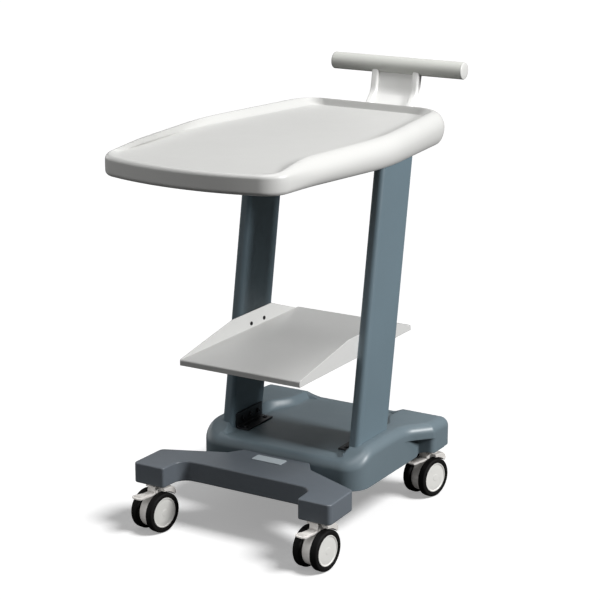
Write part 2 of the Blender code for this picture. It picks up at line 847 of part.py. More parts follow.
def build_foot_brackets():
    """Angle bracket between each column and the deck, with its bolts."""
    face = COLUMN_INNER_X - GAP
    sheet = BRACKET_SHEET
    low = DECK_TOP + GAP
    high = low + BRACKET_RISE
    for name, side in (("left", -1), ("right", 1)):
        corners = [
            (face, low, 0.0002),
            (face, high, 0.0002),
            (face - sheet, high, 0.0002),
            (face - sheet, low + sheet, 0.003),
            (face - BRACKET_FOOT, low + sheet, 0.0002),
            (face - BRACKET_FOOT, low, 0.0002),
        ]
        y_low, y_high = -0.018, 0.070
        section = rounded(corners, 2)
        rings = [[(side * x, y, z) for x, z in section] for y in (y_low, y_high)]
        bracket = add(f"{name}_foot_bracket", stack(f"{name}_foot_bracket", rings), black_steel())
        cut(bracket, *fastener_holes(side, "bracket_hole", foot_bolt_places(), FOOT_BOLT_HOLE))
        fixing(f"{name}_foot_bolts", side, foot_bolt_places(), FOOT_BOLT_HEAD, FOOT_BOLT_SHANK,
               face - sheet - GAP, bright_steel())


# ---------------------------------------------------------------- shelf

def shelf_side_outline():
    """Side plate in (y, z): low at the front, a level top and a falling rear."""
    corners = [
        (SHELF_FRONT_Y, SHELF_BOTTOM, 0.0015),
        (SHELF_REAR_Y, SHELF_BOTTOM, 0.0015),
        (SHELF_REAR_Y, SHELF_FLOOR - 0.004, 0.003),
        (0.1085, 0.3580, 0.012),
        (-0.0290, 0.3580, 0.020),
        (SHELF_FRONT_Y, SHELF_FLOOR + 0.001, 0.004),
    ]
    return rounded(corners, 3)


def build_shelf():
    sheet = SHELF_SHEET
    edge = SHELF_HALF_WIDTH
    floor = box("shelf", (0.0005 - edge, SHELF_FRONT_Y, SHELF_FLOOR - sheet),
                (edge - 0.0005, SHELF_REAR_Y - 0.0005, SHELF_FLOOR))
    shelf = add("shelf", floor, shelf_paint())
    for side in (-1, 1):
        middle = side * (edge - sheet / 2)
        join(shelf, plate(f"shelf_side_{side}", shelf_side_outline(), sheet, "X", middle))
    for name, y in (("front", SHELF_FRONT_Y + 0.0001), ("rear", SHELF_REAR_Y - 0.0006 - sheet)):
        low = (0.0007 - edge, y, SHELF_BOTTOM + 0.0005)
        high = (edge - 0.0007, y + sheet, SHELF_FLOOR - sheet / 2)
        join(shelf, box(f"shelf_{name}_lip", low, high))
    for name, side in (("left", -1), ("right", 1)):
        cut(shelf, *fastener_holes(side, "shelf_hole", shelf_screw_places(), SHELF_SCREW_HOLE))
        fixing(f"{name}_shelf_screws", side, shelf_screw_places(), SHELF_SCREW_HEAD, SHELF_SCREW_SHANK,
               edge - sheet - GAP, black_steel())


# ---------------------------------------------------------------- table

def table_corners():
    return mirrored([
        (0, TABLE_FRONT_Y - 0.0085, 0.250),
        (0.175, -0.3520, 0.050),
        (0.208, -0.0215, 0.500),
        (0.162, TABLE_REAR_Y, 0.070),
    ])


def table_ring(distance, height):
    outline = rounded(inset(table_corners(), distance), 6)
    return [(x, y, height(y)) for x, y in outline]


def table_rings():
    """Rings up the outside: underside edge, widest line, then the rim's crest."""
    rings = []
    for i in range(4):
        angle = math.radians(30 * i)
        distance = TABLE_BOTTOM_ROUNDING * (1 - math.sin(angle))
        share = 1 - math.cos(angle)

        def height(y, share=share):
            return table_bottom(y) + (TABLE_WIDEST_Z - table_bottom(y)) * share
        rings.append(table_ring(distance, height))
    for i in range(1, 6):
        angle = math.radians(18 * i)
        distance = TABLE_TOP_ROUNDING * (1 - math.cos(angle))
        level = TABLE_WIDEST_Z + (TABLE_RIM_TOP - TABLE_WIDEST_Z) * math.sin(angle)
        rings.append(table_ring(distance, lambda y, level=level: level))
    return rings


def table_inside():
    """The hollow below the top's skin, open at the underside."""
    ceiling = TABLE_FLOOR - TABLE_WALL
    opening = TABLE_BOTTOM_ROUNDING + TABLE_WALL
    return stack("table_inside", [
        table_ring(opening, lambda y: table_bottom(y) - 0.004),
        table_ring(opening, lambda y: table_bottom(y) + 0.005),
        table_ring(0.009, lambda y: table_bottom(y) + 0.014),
        table_ring(0.006, lambda y: TABLE_WIDEST_Z),
        table_ring(0.008, lambda y: ceiling),
    ])


def table_recess():
    """The flat tray in the top, which runs out over the front edge."""
    corners = mirrored([
        (0.150, -0.420, 0.002),
        (0.180, -0.0795, 0.400),
        (0.118, 0.2655, 0.020),
    ])
    levels = (
        (0.003, TABLE_FLOOR),
        (0.0008, TABLE_FLOOR + 0.003),
        (-0.003, TABLE_RIM_TOP + 0.004),
    )
    rings = []
    for distance, z in levels:
        rings.append([(x, y, z) for x, y in rounded(inset(corners, distance), 5)])
    return stack("table_recess", rings)


def build_table():
    top = add("table_top", stack("table_top", table_rings()), white_plastic())
    cut(top, table_inside(), table_recess())
    smooth(top)
    rings = [
        table_ring(UNDERSIDE_INSET, lambda y: table_bottom(y)),
        table_ring(UNDERSIDE_INSET, lambda y: table_bottom(y) + UNDERSIDE_THICKNESS),
    ]
    add("table_underside", stack("table_underside", rings), white_plastic())


def build_table_rails():
    """Steel rails and cross rails between the top's skin and its underside."""
    high = TABLE_FLOOR - TABLE_WALL - GAP
    above = UNDERSIDE_THICKNESS + GAP
    outline = [(y, table_bottom(y) + above) for y in (RAIL_FRONT_Y, RAIL_REAR_Y)]
    outline += [(RAIL_REAR_Y, high), (RAIL_FRONT_Y, high)]
    for name, side in (("left", -1), ("right", 1)):
        mesh = plate(f"{name}_table_rail", outline, RAIL_WIDTH, "X", side * RAIL_X)
        add(f"{name}_table_rail", mesh, black_steel())
    reach = RAIL_X - RAIL_WIDTH / 2 - GAP
    for name, y in (("front", -0.200), ("rear", 0.185)):
        low = table_bottom(y) + above + 0.001
        half = RAIL_WIDTH / 2
        mesh = box(f"{name}_cross_rail", (-reach, y - half, low), (reach, y + half, high))
        add(f"{name}_cross_rail", mesh, black_steel())


# ---------------------------------------------------------------- handle

def rib_outline(front, rear):
    """Side view in (y, z) of an arm that runs back and then up to the bar.

    front and rear move its upper and lower sides, in metres.
    """
    over = table_bottom(0.25) - 3 * GAP
    under = over - 0.0145
    corners = [
        (ARM_START_Y + rear, under + rear, 0.002),
        (0.3030 - 0.4 * rear, under + rear, 0.030),
        (0.3745 - rear, 0.7440, 0.040),
        (0.3840 - rear, 0.7860 - rear, 0.001),
        (0.3665 + front, 0.7860 - rear, 0.001),
        (0.3575 + front, 0.7370, 0.030),
        (0.2897 + 0.6 * front, over - front, 0.024),
        (ARM_START_Y + rear, over - front, 0.002),
    ]
    return rounded(corners, 5)


def build_handle():
    """Two curved arms with a web between them, and the bar with its end caps."""
    arm = plate("handle_bracket", rib_outline(0, 0), RIB_WIDTH, "X", -RIB_MIDDLE_X)
    bracket = add("handle_bracket", arm, white_plastic())
    join(bracket, plate("right_arm", rib_outline(0, 0), RIB_WIDTH, "X", RIB_MIDDLE_X))
    span = 2 * RIB_MIDDLE_X - RIB_WIDTH + 0.002
    join(bracket, plate("web", rib_outline(WEB_RECESS, WEB_REAR_RECESS), span, "X"))
    start, end = (-0.1, BAR_Y, BAR_Z), (0.1, BAR_Y, BAR_Z)
    groove = rod("bar_seat", around(BAR_RADIUS, BAR_SIDES), start, end, BAR_SIDES)
    cut(bracket, groove)
    smooth(bracket, 30)
    inner = BAR_RADIUS - BAR_WALL
    profile = [
        (BAR_RADIUS, BAR_HALF_LENGTH),
        (BAR_RADIUS, -BAR_HALF_LENGTH),
        (inner, -BAR_HALF_LENGTH),
        (inner, BAR_HALF_LENGTH),
    ]
    bar = smooth(add("handle_bar", turned("handle_bar", profile, BAR_SIDES, closed=True), grey_plastic()))
    plug = inner - 0.0006
    cap_profile = [
        (0, CAP_LENGTH),
        (BAR_RADIUS - 0.0035, CAP_LENGTH),
        (BAR_RADIUS - 0.0008, CAP_LENGTH - 0.0012),
        (BAR_RADIUS, CAP_LENGTH - 0.0030),
        (BAR_RADIUS, GAP),
        (plug, GAP),
        (plug, -CAP_PLUG),
        (0, -CAP_PLUG),
    ]
    cap = turned("handle_end_cap", cap_profile, BAR_SIDES)
    turn = math.pi / 2
    bar.location = (0, BAR_Y, BAR_Z)
    bar.rotation_euler = (0, turn, 0)
    for name, side in (("left", -1), ("right", 1)):
        end = smooth(add(f"{name}_handle_cap", cap, white_plastic()))
        end.location = (side * BAR_HALF_LENGTH, BAR_Y, BAR_Z)
        end.rotation_euler = (0, side * turn, 0)


# ---------------------------------------------------------------- all

def main():
    clear_scene()
    build_casters()
    build_front_beam()
    build_rear_beam()
    build_base_frame()
    build_base_hood()
    build_label_plate()
    build_columns()
    build_mount_plates()
    build_foot_brackets()
    build_shelf()
    build_table()
    build_table_rails()
    build_handle()
    bpy.context.view_layer.update()


main()
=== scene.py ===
import json
import math

import bmesh
import bpy
from mathutils import Matrix, Vector
from mathutils.geometry import delaunay_2d_cdt


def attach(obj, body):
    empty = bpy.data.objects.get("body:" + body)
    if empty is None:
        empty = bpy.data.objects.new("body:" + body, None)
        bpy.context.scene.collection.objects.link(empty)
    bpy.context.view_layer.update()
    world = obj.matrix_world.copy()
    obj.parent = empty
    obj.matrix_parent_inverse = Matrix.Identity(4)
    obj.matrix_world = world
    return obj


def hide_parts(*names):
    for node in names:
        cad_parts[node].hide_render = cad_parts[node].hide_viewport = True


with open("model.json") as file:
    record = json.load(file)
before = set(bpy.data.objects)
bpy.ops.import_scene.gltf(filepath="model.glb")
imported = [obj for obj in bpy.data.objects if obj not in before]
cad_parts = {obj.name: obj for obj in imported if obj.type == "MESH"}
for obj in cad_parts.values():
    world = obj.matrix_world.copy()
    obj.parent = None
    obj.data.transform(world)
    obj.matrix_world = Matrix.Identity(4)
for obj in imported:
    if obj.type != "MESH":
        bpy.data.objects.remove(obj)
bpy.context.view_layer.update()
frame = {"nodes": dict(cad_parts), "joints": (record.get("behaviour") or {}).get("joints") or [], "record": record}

# ---- sizes, in metres

GAP = 0.0003

# Casters, about the middle of the axle: +X along it, -Y ahead
WHEEL_RADIUS = 0.0375
HALF_WHEEL = 0.00775
WHEEL_OFFSET = 0.01825
TYRE_INNER = 0.0285
TRAIL = 0.011
HOUSING_TOP = 0.0487
KINGPIN_RADIUS = 0.0045
KINGPIN_BOTTOM = 0.07
STEM_RADIUS = 0.0055
STEM_TOP = 0.1165
CORE_HALF = 0.01
CORE_RADIUS = 0.031
FENDER_HALF = 0.0235
PEDAL_PIVOT = (-0.0085, 0.0342)
KNUCKLE_RADIUS = 0.003
KNUCKLE_REACH = 0.0088
PEDAL_TIP_Y = -0.041
PEDAL_HALF_SHEET = 0.0021

# Base
BEAM_BOTTOM = 0.0905
BEAM_TOP = 0.1285
BEAM_SHEET = 0.004
BEAM_NECK_X = 0.072
FRONT_STEM_X = 0.1705
FRONT_STEM_Y = -0.2065
FOOT_OUTER_X = 0.206
HOOD_FRONT_Y = -0.0765
HOOD_REAR_Y = 0.2285
HOOD_SIDE_X = 0.1725
HOOD_FOOT_X = 0.204
HOOD_FOOT_FRONT_Y = 0.1575
HOOD_BOTTOM = 0.088
HOOD_FOOT_BOTTOM = 0.099
HOOD_LEDGE = 0.011
HOOD_TOP = 0.162
HOOD_REAR_TOP = 0.153
HOOD_ROUNDING = 0.018
HOOD_WALL = 0.0035
DECK_TOP = 0.142

# Columns
COLUMN_INNER_X = 0.1245
COLUMN_THICKNESS = 0.0225
COLUMN_WALL = 0.003
COLUMN_DEPTH = 0.111
COLUMN_BOTTOM = 0.1341
COLUMN_Y = 0.0219
COLUMN_Y_LEVEL = 0.15
COLUMN_LEAN = 0.169
BRACKET_SHEET = 0.003
BRACKET_FOOT = 0.027
BRACKET_RISE = 0.029
MOUNT_SHEET = 0.003
FOOT_BOLT_Y = (0.003, 0.029, 0.055)
FOOT_BOLT_Z = 0.158

# Shelf
SHELF_EDGE = COLUMN_INNER_X - GAP
SHELF_SHEET = 0.002
SHELF_FLOOR = 0.3265
SHELF_BOTTOM = 0.3155
SHELF_SIDE_TOP = 0.358
SHELF_FRONT_Y = -0.199
SHELF_REAR_Y = 0.2105
SHELF_SCREW_Y = (0.0345, 0.0795)
SHELF_SCREW_Z = 0.3355

# Table
TABLE_FRONT_Y = -0.386
TABLE_REAR_Y = 0.2925
TABLE_RIM_TOP = 0.73
TABLE_FLOOR = 0.717
TABLE_WIDEST_Z = 0.701
TABLE_BOTTOM_FRONT = 0.684
TABLE_BOTTOM_REAR = 0.668
TABLE_SHEET = 0.004
TABLE_TOP_ROUNDING = 0.024
TABLE_BOTTOM_ROUNDING = 0.018
TABLE_OPENING = 0.022
FRONT_EDGE = 0.007
FRONT_TOP = 0.7182
RIM_START_Y = -0.374
RIM_FULL_Y = -0.225

# Handle
BAR_RADIUS = 0.0165
BAR_HALF_LENGTH = 0.1385
BAR_Y = 0.3795
BAR_Z = 0.7865
RIB_HALF = 0.0075
RIB_MIDDLE_X = 0.044
BRACKET_FRONT_Y = 0.22

ALONG_X = Matrix.Rotation(math.pi / 2, 4, "Y")
FACING = {
    "Z": Matrix.Identity(4),
    "X": Matrix(((0, 0, 1, 0), (1, 0, 0, 0), (0, 1, 0, 0), (0, 0, 0, 1))),
    "Y": Matrix(((1, 0, 0, 0), (0, 0, 1, 0), (0, 1, 0, 0), (0, 0, 0, 1))),
}
SIDES = (("left", -1), ("right", 1))


def smoothstep(low, high, value):
    share = min(max((value - low) / (high - low), 0.0), 1.0)
    return share * share * (3 - 2 * share)


def lerp(a, b, share):
    return a + (b - a) * share


# ---- outlines

def corner_arc(before, here, after, radius, steps):
    """Points of the arc that rounds one corner of a line."""
    here = Vector(here)
    back = (Vector(before) - here).normalized()
    ahead = (Vector(after) - here).normalized()
    half_angle = back.angle(ahead) / 2
    if radius <= 0 or half_angle > math.pi / 2 - 1e-6:
        return [here]
    centre = here + (back + ahead).normalized() * radius / math.sin(half_angle)
    spoke = here + back * radius / math.tan(half_angle) - centre
    turn = math.pi - 2 * half_angle
    if back.x * ahead.y - back.y * ahead.x > 0:
        turn = -turn
    return [centre + Matrix.Rotation(turn * k / steps, 2) @ spoke for k in range(steps + 1)]


def rounded(corners, steps=8, straight=1):
    """Closed outline through (u, v, radius) corners; straight runs are split."""
    arcs = []
    for i, (u, v, radius) in enumerate(corners):
        after = corners[(i + 1) % len(corners)]
        arcs.append(corner_arc(corners[i - 1][:2], (u, v), after[:2], radius, steps))
    outline = []
    for here, following in zip(arcs, arcs[1:] + arcs[:1]):
        outline += here
        outline += [here[-1].lerp(following[0], k / straight) for k in range(1, straight)]
    return outline


def bent(corners, steps=5):
    """Open line through (u, v, radius) corners, with an arc at each inner one."""
    line = [Vector(corners[0][:2])]
    for before, (u, v, radius), after in zip(corners, corners[1:], corners[2:]):
        line += corner_arc(before[:2], (u, v), after[:2], radius, steps)
    return line + [Vector(corners[-1][:2])]


def inset(corners, distance):
    """The same corners moved inwards."""
    area = 0
    for i, (u, v, _) in enumerate(corners):
        area += corners[i - 1][0] * v - u * corners[i - 1][1]
    sign = 1 if area > 0 else -1
    result = []
    for i, (u, v, radius) in enumerate(corners):
        here = Vector((u, v))
        arriving = (here - Vector(corners[i - 1][:2])).normalized()
        leaving = (Vector(corners[(i + 1) % len(corners)][:2]) - here).normalized()
        inward = Vector((-arriving.y, arriving.x)) * sign
        middle = (inward + Vector((-leaving.y, leaving.x)) * sign).normalized()
        spot = here + middle * distance / middle.dot(inward)
        convex = (arriving.x * leaving.y - arriving.y * leaving.x) * sign > 0
        new_radius = max(radius - distance, 0.0004) if convex else radius + distance
        result.append((spot.x, spot.y, new_radius))
    return result


def mirrored(half):
    """Closed outline from its +X half, which runs from the front to the rear."""
    return half + [(-u, v, radius) for u, v, radius in reversed(half) if u > 0]


def rectangle(low_u, high_u, low_v, high_v, radius):
    """Corners of a rectangle, for an outline."""
    return [(low_u, low_v, radius), (high_u, low_v, radius),
            (high_u, high_v, radius), (low_u, high_v, radius)]


def arc(radius, start, end, steps):
    """Points about the origin, between two angles in degrees."""
    angles = [math.radians(lerp(start, end, step / steps)) for step in range(steps + 1)]
    return [(radius * math.cos(angle), radius * math.sin(angle)) for angle in angles]


# ---- meshes

def new_object(name, data):
    item = bpy.data.objects.new(name, data)
    bpy.context.scene.collection.objects.link(item)
    return item


def baked(work):
    """Mesh from a bmesh, welded and with its faces pointing outwards."""
    bmesh.ops.remove_doubles(work, verts=work.verts, dist=1e-6)
    bmesh.ops.dissolve_degenerate(work, edges=work.edges, dist=1e-7)
    bmesh.ops.recalc_face_normals(work, faces=work.faces)
    mesh = bpy.data.meshes.new("baked")
    work.to_mesh(mesh)
    work.free()
    return mesh


def bridge(work, rows):
    """Adds the faces between each row of vertices and the next."""
    for lower, upper in zip(rows, rows[1:]):
        for i in range(len(lower)):
            work.faces.new((lower[i - 1], lower[i], upper[i], upper[i - 1]))


def loft(rings, tube=False):
    """Closed mesh through rings of equal length; a tube joins its last ring to its first."""
    work = bmesh.new()
    rows = [[work.verts.new(point) for point in ring] for ring in rings]
    if tube:
        rows.append(rows[0])
    bridge(work, rows)
    if not tube:
        work.faces.new(rows[0])
        work.faces.new(rows[-1])
    return baked(work)


def slab(corners, low, high, edge, steps=8, facing="Z"):
    """Closed prism from low to high, whose end faces have rounded edges."""
    rings = []
    for level, inward in ((low, 1), (high, -1)):
        side = []
        for k in range(5):
            angle = math.radians(22.5 * k)
            outline = rounded(inset(corners, edge * (1 - math.sin(angle))), steps)
            height = level + inward * edge * (1 - math.cos(angle))
            side.append([FACING[facing] @ Vector((u, v, height)) for u, v in outline])
        rings += side if inward > 0 else side[::-1]
    return loft(rings)


def lathe(profile, steps=48, closed=False):
    """Mesh turned about Z from (radius, height) points; a radius of 0 makes a pole."""
    work = bmesh.new()
    rows = []
    for radius, height in profile:
        if radius < 1e-9:
            rows.append([work.verts.new((0, 0, height))])
            continue
        row = []
        for k in range(steps):
            angle = 2 * math.pi * k / steps
            row.append(work.verts.new((radius * math.cos(angle), radius * math.sin(angle), height)))
        rows.append(row)
    pairs = list(zip(rows, rows[1:]))
    if closed:
        pairs.append((rows[-1], rows[0]))
    for a, b in pairs:
        for k in range(steps):
            ahead = (k + 1) % steps
            loop = [a[k % len(a)], a[ahead % len(a)], b[ahead % len(b)], b[k % len(b)]]
            loop = list(dict.fromkeys(loop))
            if len(loop) > 2:
                work.faces.new(loop)
    return baked(work)


def box_mesh(low, high):
    size = Vector(high) - Vector(low)
    middle = (Vector(high) + Vector(low)) / 2
    work = bmesh.new()
    bmesh.ops.create_cube(work, matrix=Matrix.Translation(middle) @ Matrix.Diagonal((*size, 1)))
    return baked(work)


def rod(radius, start, end, segments=32):
    start = Vector(start)
    along = Vector(end) - start
    turn = along.to_track_quat("Z", "Y").to_matrix().to_4x4()
    work = bmesh.new()
    bmesh.ops.create_cone(work, cap_ends=True, segments=segments, radius1=radius, radius2=radius,
                          depth=along.length, matrix=Matrix.Translation(start + along / 2) @ turn)
    return baked(work)


def moved(mesh, place):
    """A copy of the mesh, moved or turned."""
    work = bmesh.new()
    work.from_mesh(mesh)
    bmesh.ops.transform(work, matrix=place, verts=work.verts)
    return baked(work)


def together(meshes):
    """One mesh that holds several separate ones."""
    work = bmesh.new()
    for mesh in meshes:
        work.from_mesh(mesh)
    mesh = bpy.data.meshes.new("together")
    work.to_mesh(mesh)
    work.free()
    return mesh


def combined(mesh, tool, operation):
    """Mesh of a boolean of two closed meshes."""
    body = new_object("boolean_body", mesh)
    other = new_object("boolean_tool", tool)
    step = body.modifiers.new("boolean", "BOOLEAN")
    step.operation = operation
    step.solver = "EXACT"
    step.object = other
    bpy.context.view_layer.update()
    view = bpy.context.evaluated_depsgraph_get()
    result = bpy.data.meshes.new_from_object(body.evaluated_get(view))
    for item in (body, other):
        bpy.data.objects.remove(item, do_unlink=True)
    work = bmesh.new()
    work.from_mesh(result)
    bmesh.ops.remove_doubles(work, verts=work.verts, dist=2e-6)
    bmesh.ops.dissolve_degenerate(work, edges=work.edges, dist=2e-6)
    work.to_mesh(result)
    work.free()
    return result


def cut(mesh, *tools):
    for tool in tools:
        mesh = combined(mesh, tool, "DIFFERENCE")
    return mesh


def joined(mesh, *tools):
    for tool in tools:
        mesh = combined(mesh, tool, "UNION")
    return mesh


# ---- materials

def look(name, color, roughness, grain, microns, mottle, metallic=0.0, rough_change=0.06, dust=0.0):
    """Material with fine surface grain, and slight changes of colour and roughness."""
    made = bpy.data.materials.new(name)
    made.use_nodes = True
    made.diffuse_color = (*color, 1)
    nodes = made.node_tree.nodes
    links = made.node_tree.links
    shader = nodes["Principled BSDF"]
    shader.inputs["Metallic"].default_value = metallic
    place = nodes.new("ShaderNodeTexCoord").outputs["Object"]

    def noise(scale, detail_level, rough=0.5):
        node = nodes.new("ShaderNodeTexNoise")
        node.inputs["Scale"].default_value = scale
        node.inputs["Detail"].default_value = detail_level
        node.inputs["Roughness"].default_value = rough
        links.new(place, node.inputs["Vector"])
        return node.outputs["Fac"]

    def remap(source, low, high, out_low, out_high):
        node = nodes.new("ShaderNodeMapRange")
        ends = (("From Min", low), ("From Max", high), ("To Min", out_low), ("To Max", out_high))
        for socket, value in ends:
            node.inputs[socket].default_value = value
        links.new(source, node.inputs["Value"])
        return node.outputs["Result"]

    def mix(share, first, second):
        node = nodes.new("ShaderNodeMix")
        node.data_type = "RGBA"
        links.new(share, node.inputs[0])
        for socket, value in ((node.inputs[6], first), (node.inputs[7], second)):
            if isinstance(value, tuple):
                socket.default_value = (*value, 1)
            else:
                links.new(value, socket)
        return node.outputs[2]

    darker = tuple(c * (1 - mottle) for c in color)
    lighter = tuple(c * (1 + mottle) for c in color)
    shade = mix(remap(noise(7.0, 4.0), 0.3, 0.7, 0, 1), darker, lighter)
    fine = noise(grain, 3.0)
    shade = mix(remap(fine, 0.35, 0.65, 0, 0.35), shade, tuple(c * (1 - 2 * mottle) for c in color))
    if dust:
        worn = remap(noise(60.0, 6.0, 0.65), 0.48, 0.75, 0, dust)
        shade = mix(worn, shade, tuple(min(c * 1.5 + 0.05, 1) for c in color))
    links.new(shade, shader.inputs["Base Color"])
    cloud = remap(noise(23.0, 5.0, 0.6), 0.3, 0.7, roughness - rough_change / 2,
                  roughness + rough_change / 2)
    links.new(cloud, shader.inputs["Roughness"])
    bump = nodes.new("ShaderNodeBump")
    bump.inputs["Strength"].default_value = 1.0
    bump.inputs["Distance"].default_value = microns * 1e-6
    links.new(fine, bump.inputs["Height"])
    links.new(bump.outputs["Normal"], shader.inputs["Normal"])
    return made


TABLE_WHITE = look("table_white", (0.505, 0.505, 0.493), 0.42, grain=1300, microns=35, mottle=0.012)
HANDLE_GREY = look("handle_grey", (0.53, 0.535, 0.505), 0.45, grain=1300, microns=30, mottle=0.015)
# A lighter copy of the table's white plastic: painted light on the handle bracket's front-facing faces.
BRACKET_WHITE_PAINTED_LIGHT = look("bracket_white", (0.78, 0.78, 0.765), 0.42, grain=1300, microns=30, mottle=0.012)
CAP_WHITE = look("cap_white", (0.52, 0.52, 0.505), 0.38, grain=1500, microns=20, mottle=0.01)
SLATE_MOULDED = look("slate_moulded", (0.122, 0.16, 0.182), 0.42, grain=1100, microns=50, mottle=0.04)
SLATE_COAT = look("slate_coat", (0.118, 0.164, 0.192), 0.38, grain=420, microns=60, mottle=0.03)
BEAM_COAT = look("beam_coat", (0.108, 0.124, 0.142), 0.4, grain=420, microns=60, mottle=0.03)
SHELF_COAT = look("shelf_coat", (0.56, 0.56, 0.55), 0.4, grain=420, microns=50, mottle=0.015)
BLACK_COAT = look("black_coat", (0.016, 0.018, 0.021), 0.4, grain=500, microns=60, mottle=0.05)
ZINC = look("zinc", (0.6, 0.6, 0.58), 0.3, grain=240, microns=10, mottle=0.08, metallic=1.0,
            rough_change=0.14)
DARK_STEEL = look("dark_steel", (0.11, 0.11, 0.115), 0.34, grain=240, microns=10, mottle=0.08,
                  metallic=1.0)
NYLON = look("caster_nylon", (0.6, 0.58, 0.555), 0.4, grain=1000, microns=40, mottle=0.02)
DISC = look("wheel_disc", (0.64, 0.635, 0.61), 0.36, grain=1400, microns=20, mottle=0.012)
RUBBER = look("tyre_black", (0.0045, 0.0042, 0.0042), 0.66, grain=700, microns=80, mottle=0.1,
              rough_change=0.12, dust=0.03)
RUBBER.node_tree.nodes["Principled BSDF"].inputs["Specular IOR Level"].default_value = 0.15
LABEL = look("label_blank", (0.42, 0.47, 0.5), 0.42, grain=1500, microns=10, mottle=0.01)

CARRIED_LOOKS = {
    "slate_paint": SLATE_COAT,
    "slate_plastic": SLATE_MOULDED,
    "black_steel": BLACK_COAT,
    "bright_steel": ZINC,
    "shelf_paint": SHELF_COAT,
    "white_plastic": TABLE_WHITE,
    "grey_plastic": HANDLE_GREY,
    "caster_plastic": NYLON,
    "hub_plastic": DISC,
    "tyre_rubber": RUBBER,
    "label_plastic": LABEL,
}


def piece(name, mesh, finish, body="trolley", node=None, place=None, sharp=38):
    """Adds one visible piece, which moves with a body and may stand for a CAD node."""
    mesh.name = name
    mesh.materials.clear()
    mesh.materials.append(finish)
    mesh.shade_smooth()
    mesh.set_sharp_from_angle(angle=math.radians(sharp))
    item = new_object(name, mesh)
    if place is not None:
        item.matrix_world = place
    normals = item.modifiers.new("normals", "WEIGHTED_NORMAL")
    normals.keep_sharp = True
    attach(item, body)
    if node:
        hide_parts(node)


def socket_head(radius, height, edge=None):
    """Closed screw head, seated at 0 with a hexagon socket in its face at height."""
    socket = 0.5 * radius
    edge = edge or 0.22 * radius
    steps = 36
    rings = []

    def add_ring(size, level, hexagon=False):
        ring = []
        for k in range(steps):
            angle = 2 * math.pi * k / steps
            reach = size
            if hexagon:
                reach *= math.cos(math.pi / 6) / math.cos((angle % (math.pi / 3)) - math.pi / 6)
            ring.append((reach * math.cos(angle), reach * math.sin(angle), level))
        rings.append(ring)

    add_ring(radius, 0)
    for k in range(5):
        angle = math.radians(22.5 * k)
        add_ring(radius - edge * (1 - math.cos(angle)), height - edge * (1 - math.sin(angle)))
    add_ring(0.66 * socket + 0.2 * radius, height)
    add_ring(socket, height - 0.0002, hexagon=True)
    add_ring(0.96 * socket, 0.45 * height, hexagon=True)
    return loft(rings)


# ---- casters

def caster_tyre():
    corners = [
        (WHEEL_RADIUS, -HALF_WHEEL, 0.0036), (WHEEL_RADIUS, HALF_WHEEL, 0.0036),
        (TYRE_INNER + 0.0012, HALF_WHEEL, 0.0009), (TYRE_INNER, HALF_WHEEL - 0.002, 0.0005),
        (TYRE_INNER, 0.002 - HALF_WHEEL, 0.0005), (TYRE_INNER + 0.0012, -HALF_WHEEL, 0.0009),
    ]
    return moved(lathe(rounded(corners, 5), 84, closed=True), ALONG_X)


def caster_hub():
    """White disc with a raised rim, a centre cap and a blind bore on its inner side."""
    face = HALF_WHEEL
    rim = TYRE_INNER - GAP
    profile = bent([
        (0, face - 0.0009, 0), (0.006, face - 0.001, 0.001),
        (0.0066, face - 0.0014, 0.0006), (0.018, face - 0.0016, 0.03),
        (0.0252, face - 0.0024, 0.001), (0.0259, face - 0.001, 0.0007),
        (0.0278, face - 0.001, 0.0009), (rim, face - 0.003, 0.001),
        (rim, 0.0012 - face, 0.001), (0.0255, 0.0004 - face, 0.001),
        (0.0245, 0.003 - face, 0.001), (0.0125, 0.003 - face, 0.001),
        (0.011, -face, 0.0008), (0.0044, -face, 0.0003),
        (0.0044, 0.001, 0), (0, 0.001, 0),
    ], 4)
    return moved(lathe(profile, 84), ALONG_X)


def caster_housing():
    """Body between the wheels, with a hood over their rear and the swivel neck."""
    y, z = PEDAL_PIVOT
    disc = bent([
        (0, CORE_HALF, 0),
        (CORE_RADIUS, CORE_HALF, 0.0022),
        (CORE_RADIUS, -CORE_HALF, 0.0022),
        (0, -CORE_HALF, 0),
    ], 6)
    block = [
        (0.024, 0.004, 0.004), (0.024, HOUSING_TOP, 0.0012),
        (y, HOUSING_TOP, 0.0012), (y, 0.04, 0.004),
        (-0.0225, 0.019, 0.004), (-0.015, 0.004, 0.004),
    ]
    neck = bent([
        (0, HOUSING_TOP - 0.0001, 0),
        (0.015, HOUSING_TOP - 0.0001, 0.0015),
        (0.0152, 0.042, 0.003),
        (0.0135, 0.033, 0.004),
        (0, 0.03, 0),
    ], 5)
    core = joined(
        moved(lathe(disc, 72), ALONG_X),
        slab(block, 0.0001 - CORE_HALF, CORE_HALF - 0.0001, 0.0018, 6, "X"),
        moved(lathe(neck, 64), Matrix.Translation((0, TRAIL, 0))),
        caster_fender(),
    )
    return cut(
        core,
        rod(KINGPIN_RADIUS + 0.0003, (0, TRAIL, 0.0315), (0, TRAIL, HOUSING_TOP + 0.01)),
        rod(0.0043, (-0.02, 0, 0), (0.02, 0, 0)),
        rod(KNUCKLE_RADIUS + 0.0005, (-0.03, y, z), (0.03, y, z)),
        box_mesh((-0.03, -0.05, z - 0.004), (0.03, y - 0.0004, 0.06)),
    )


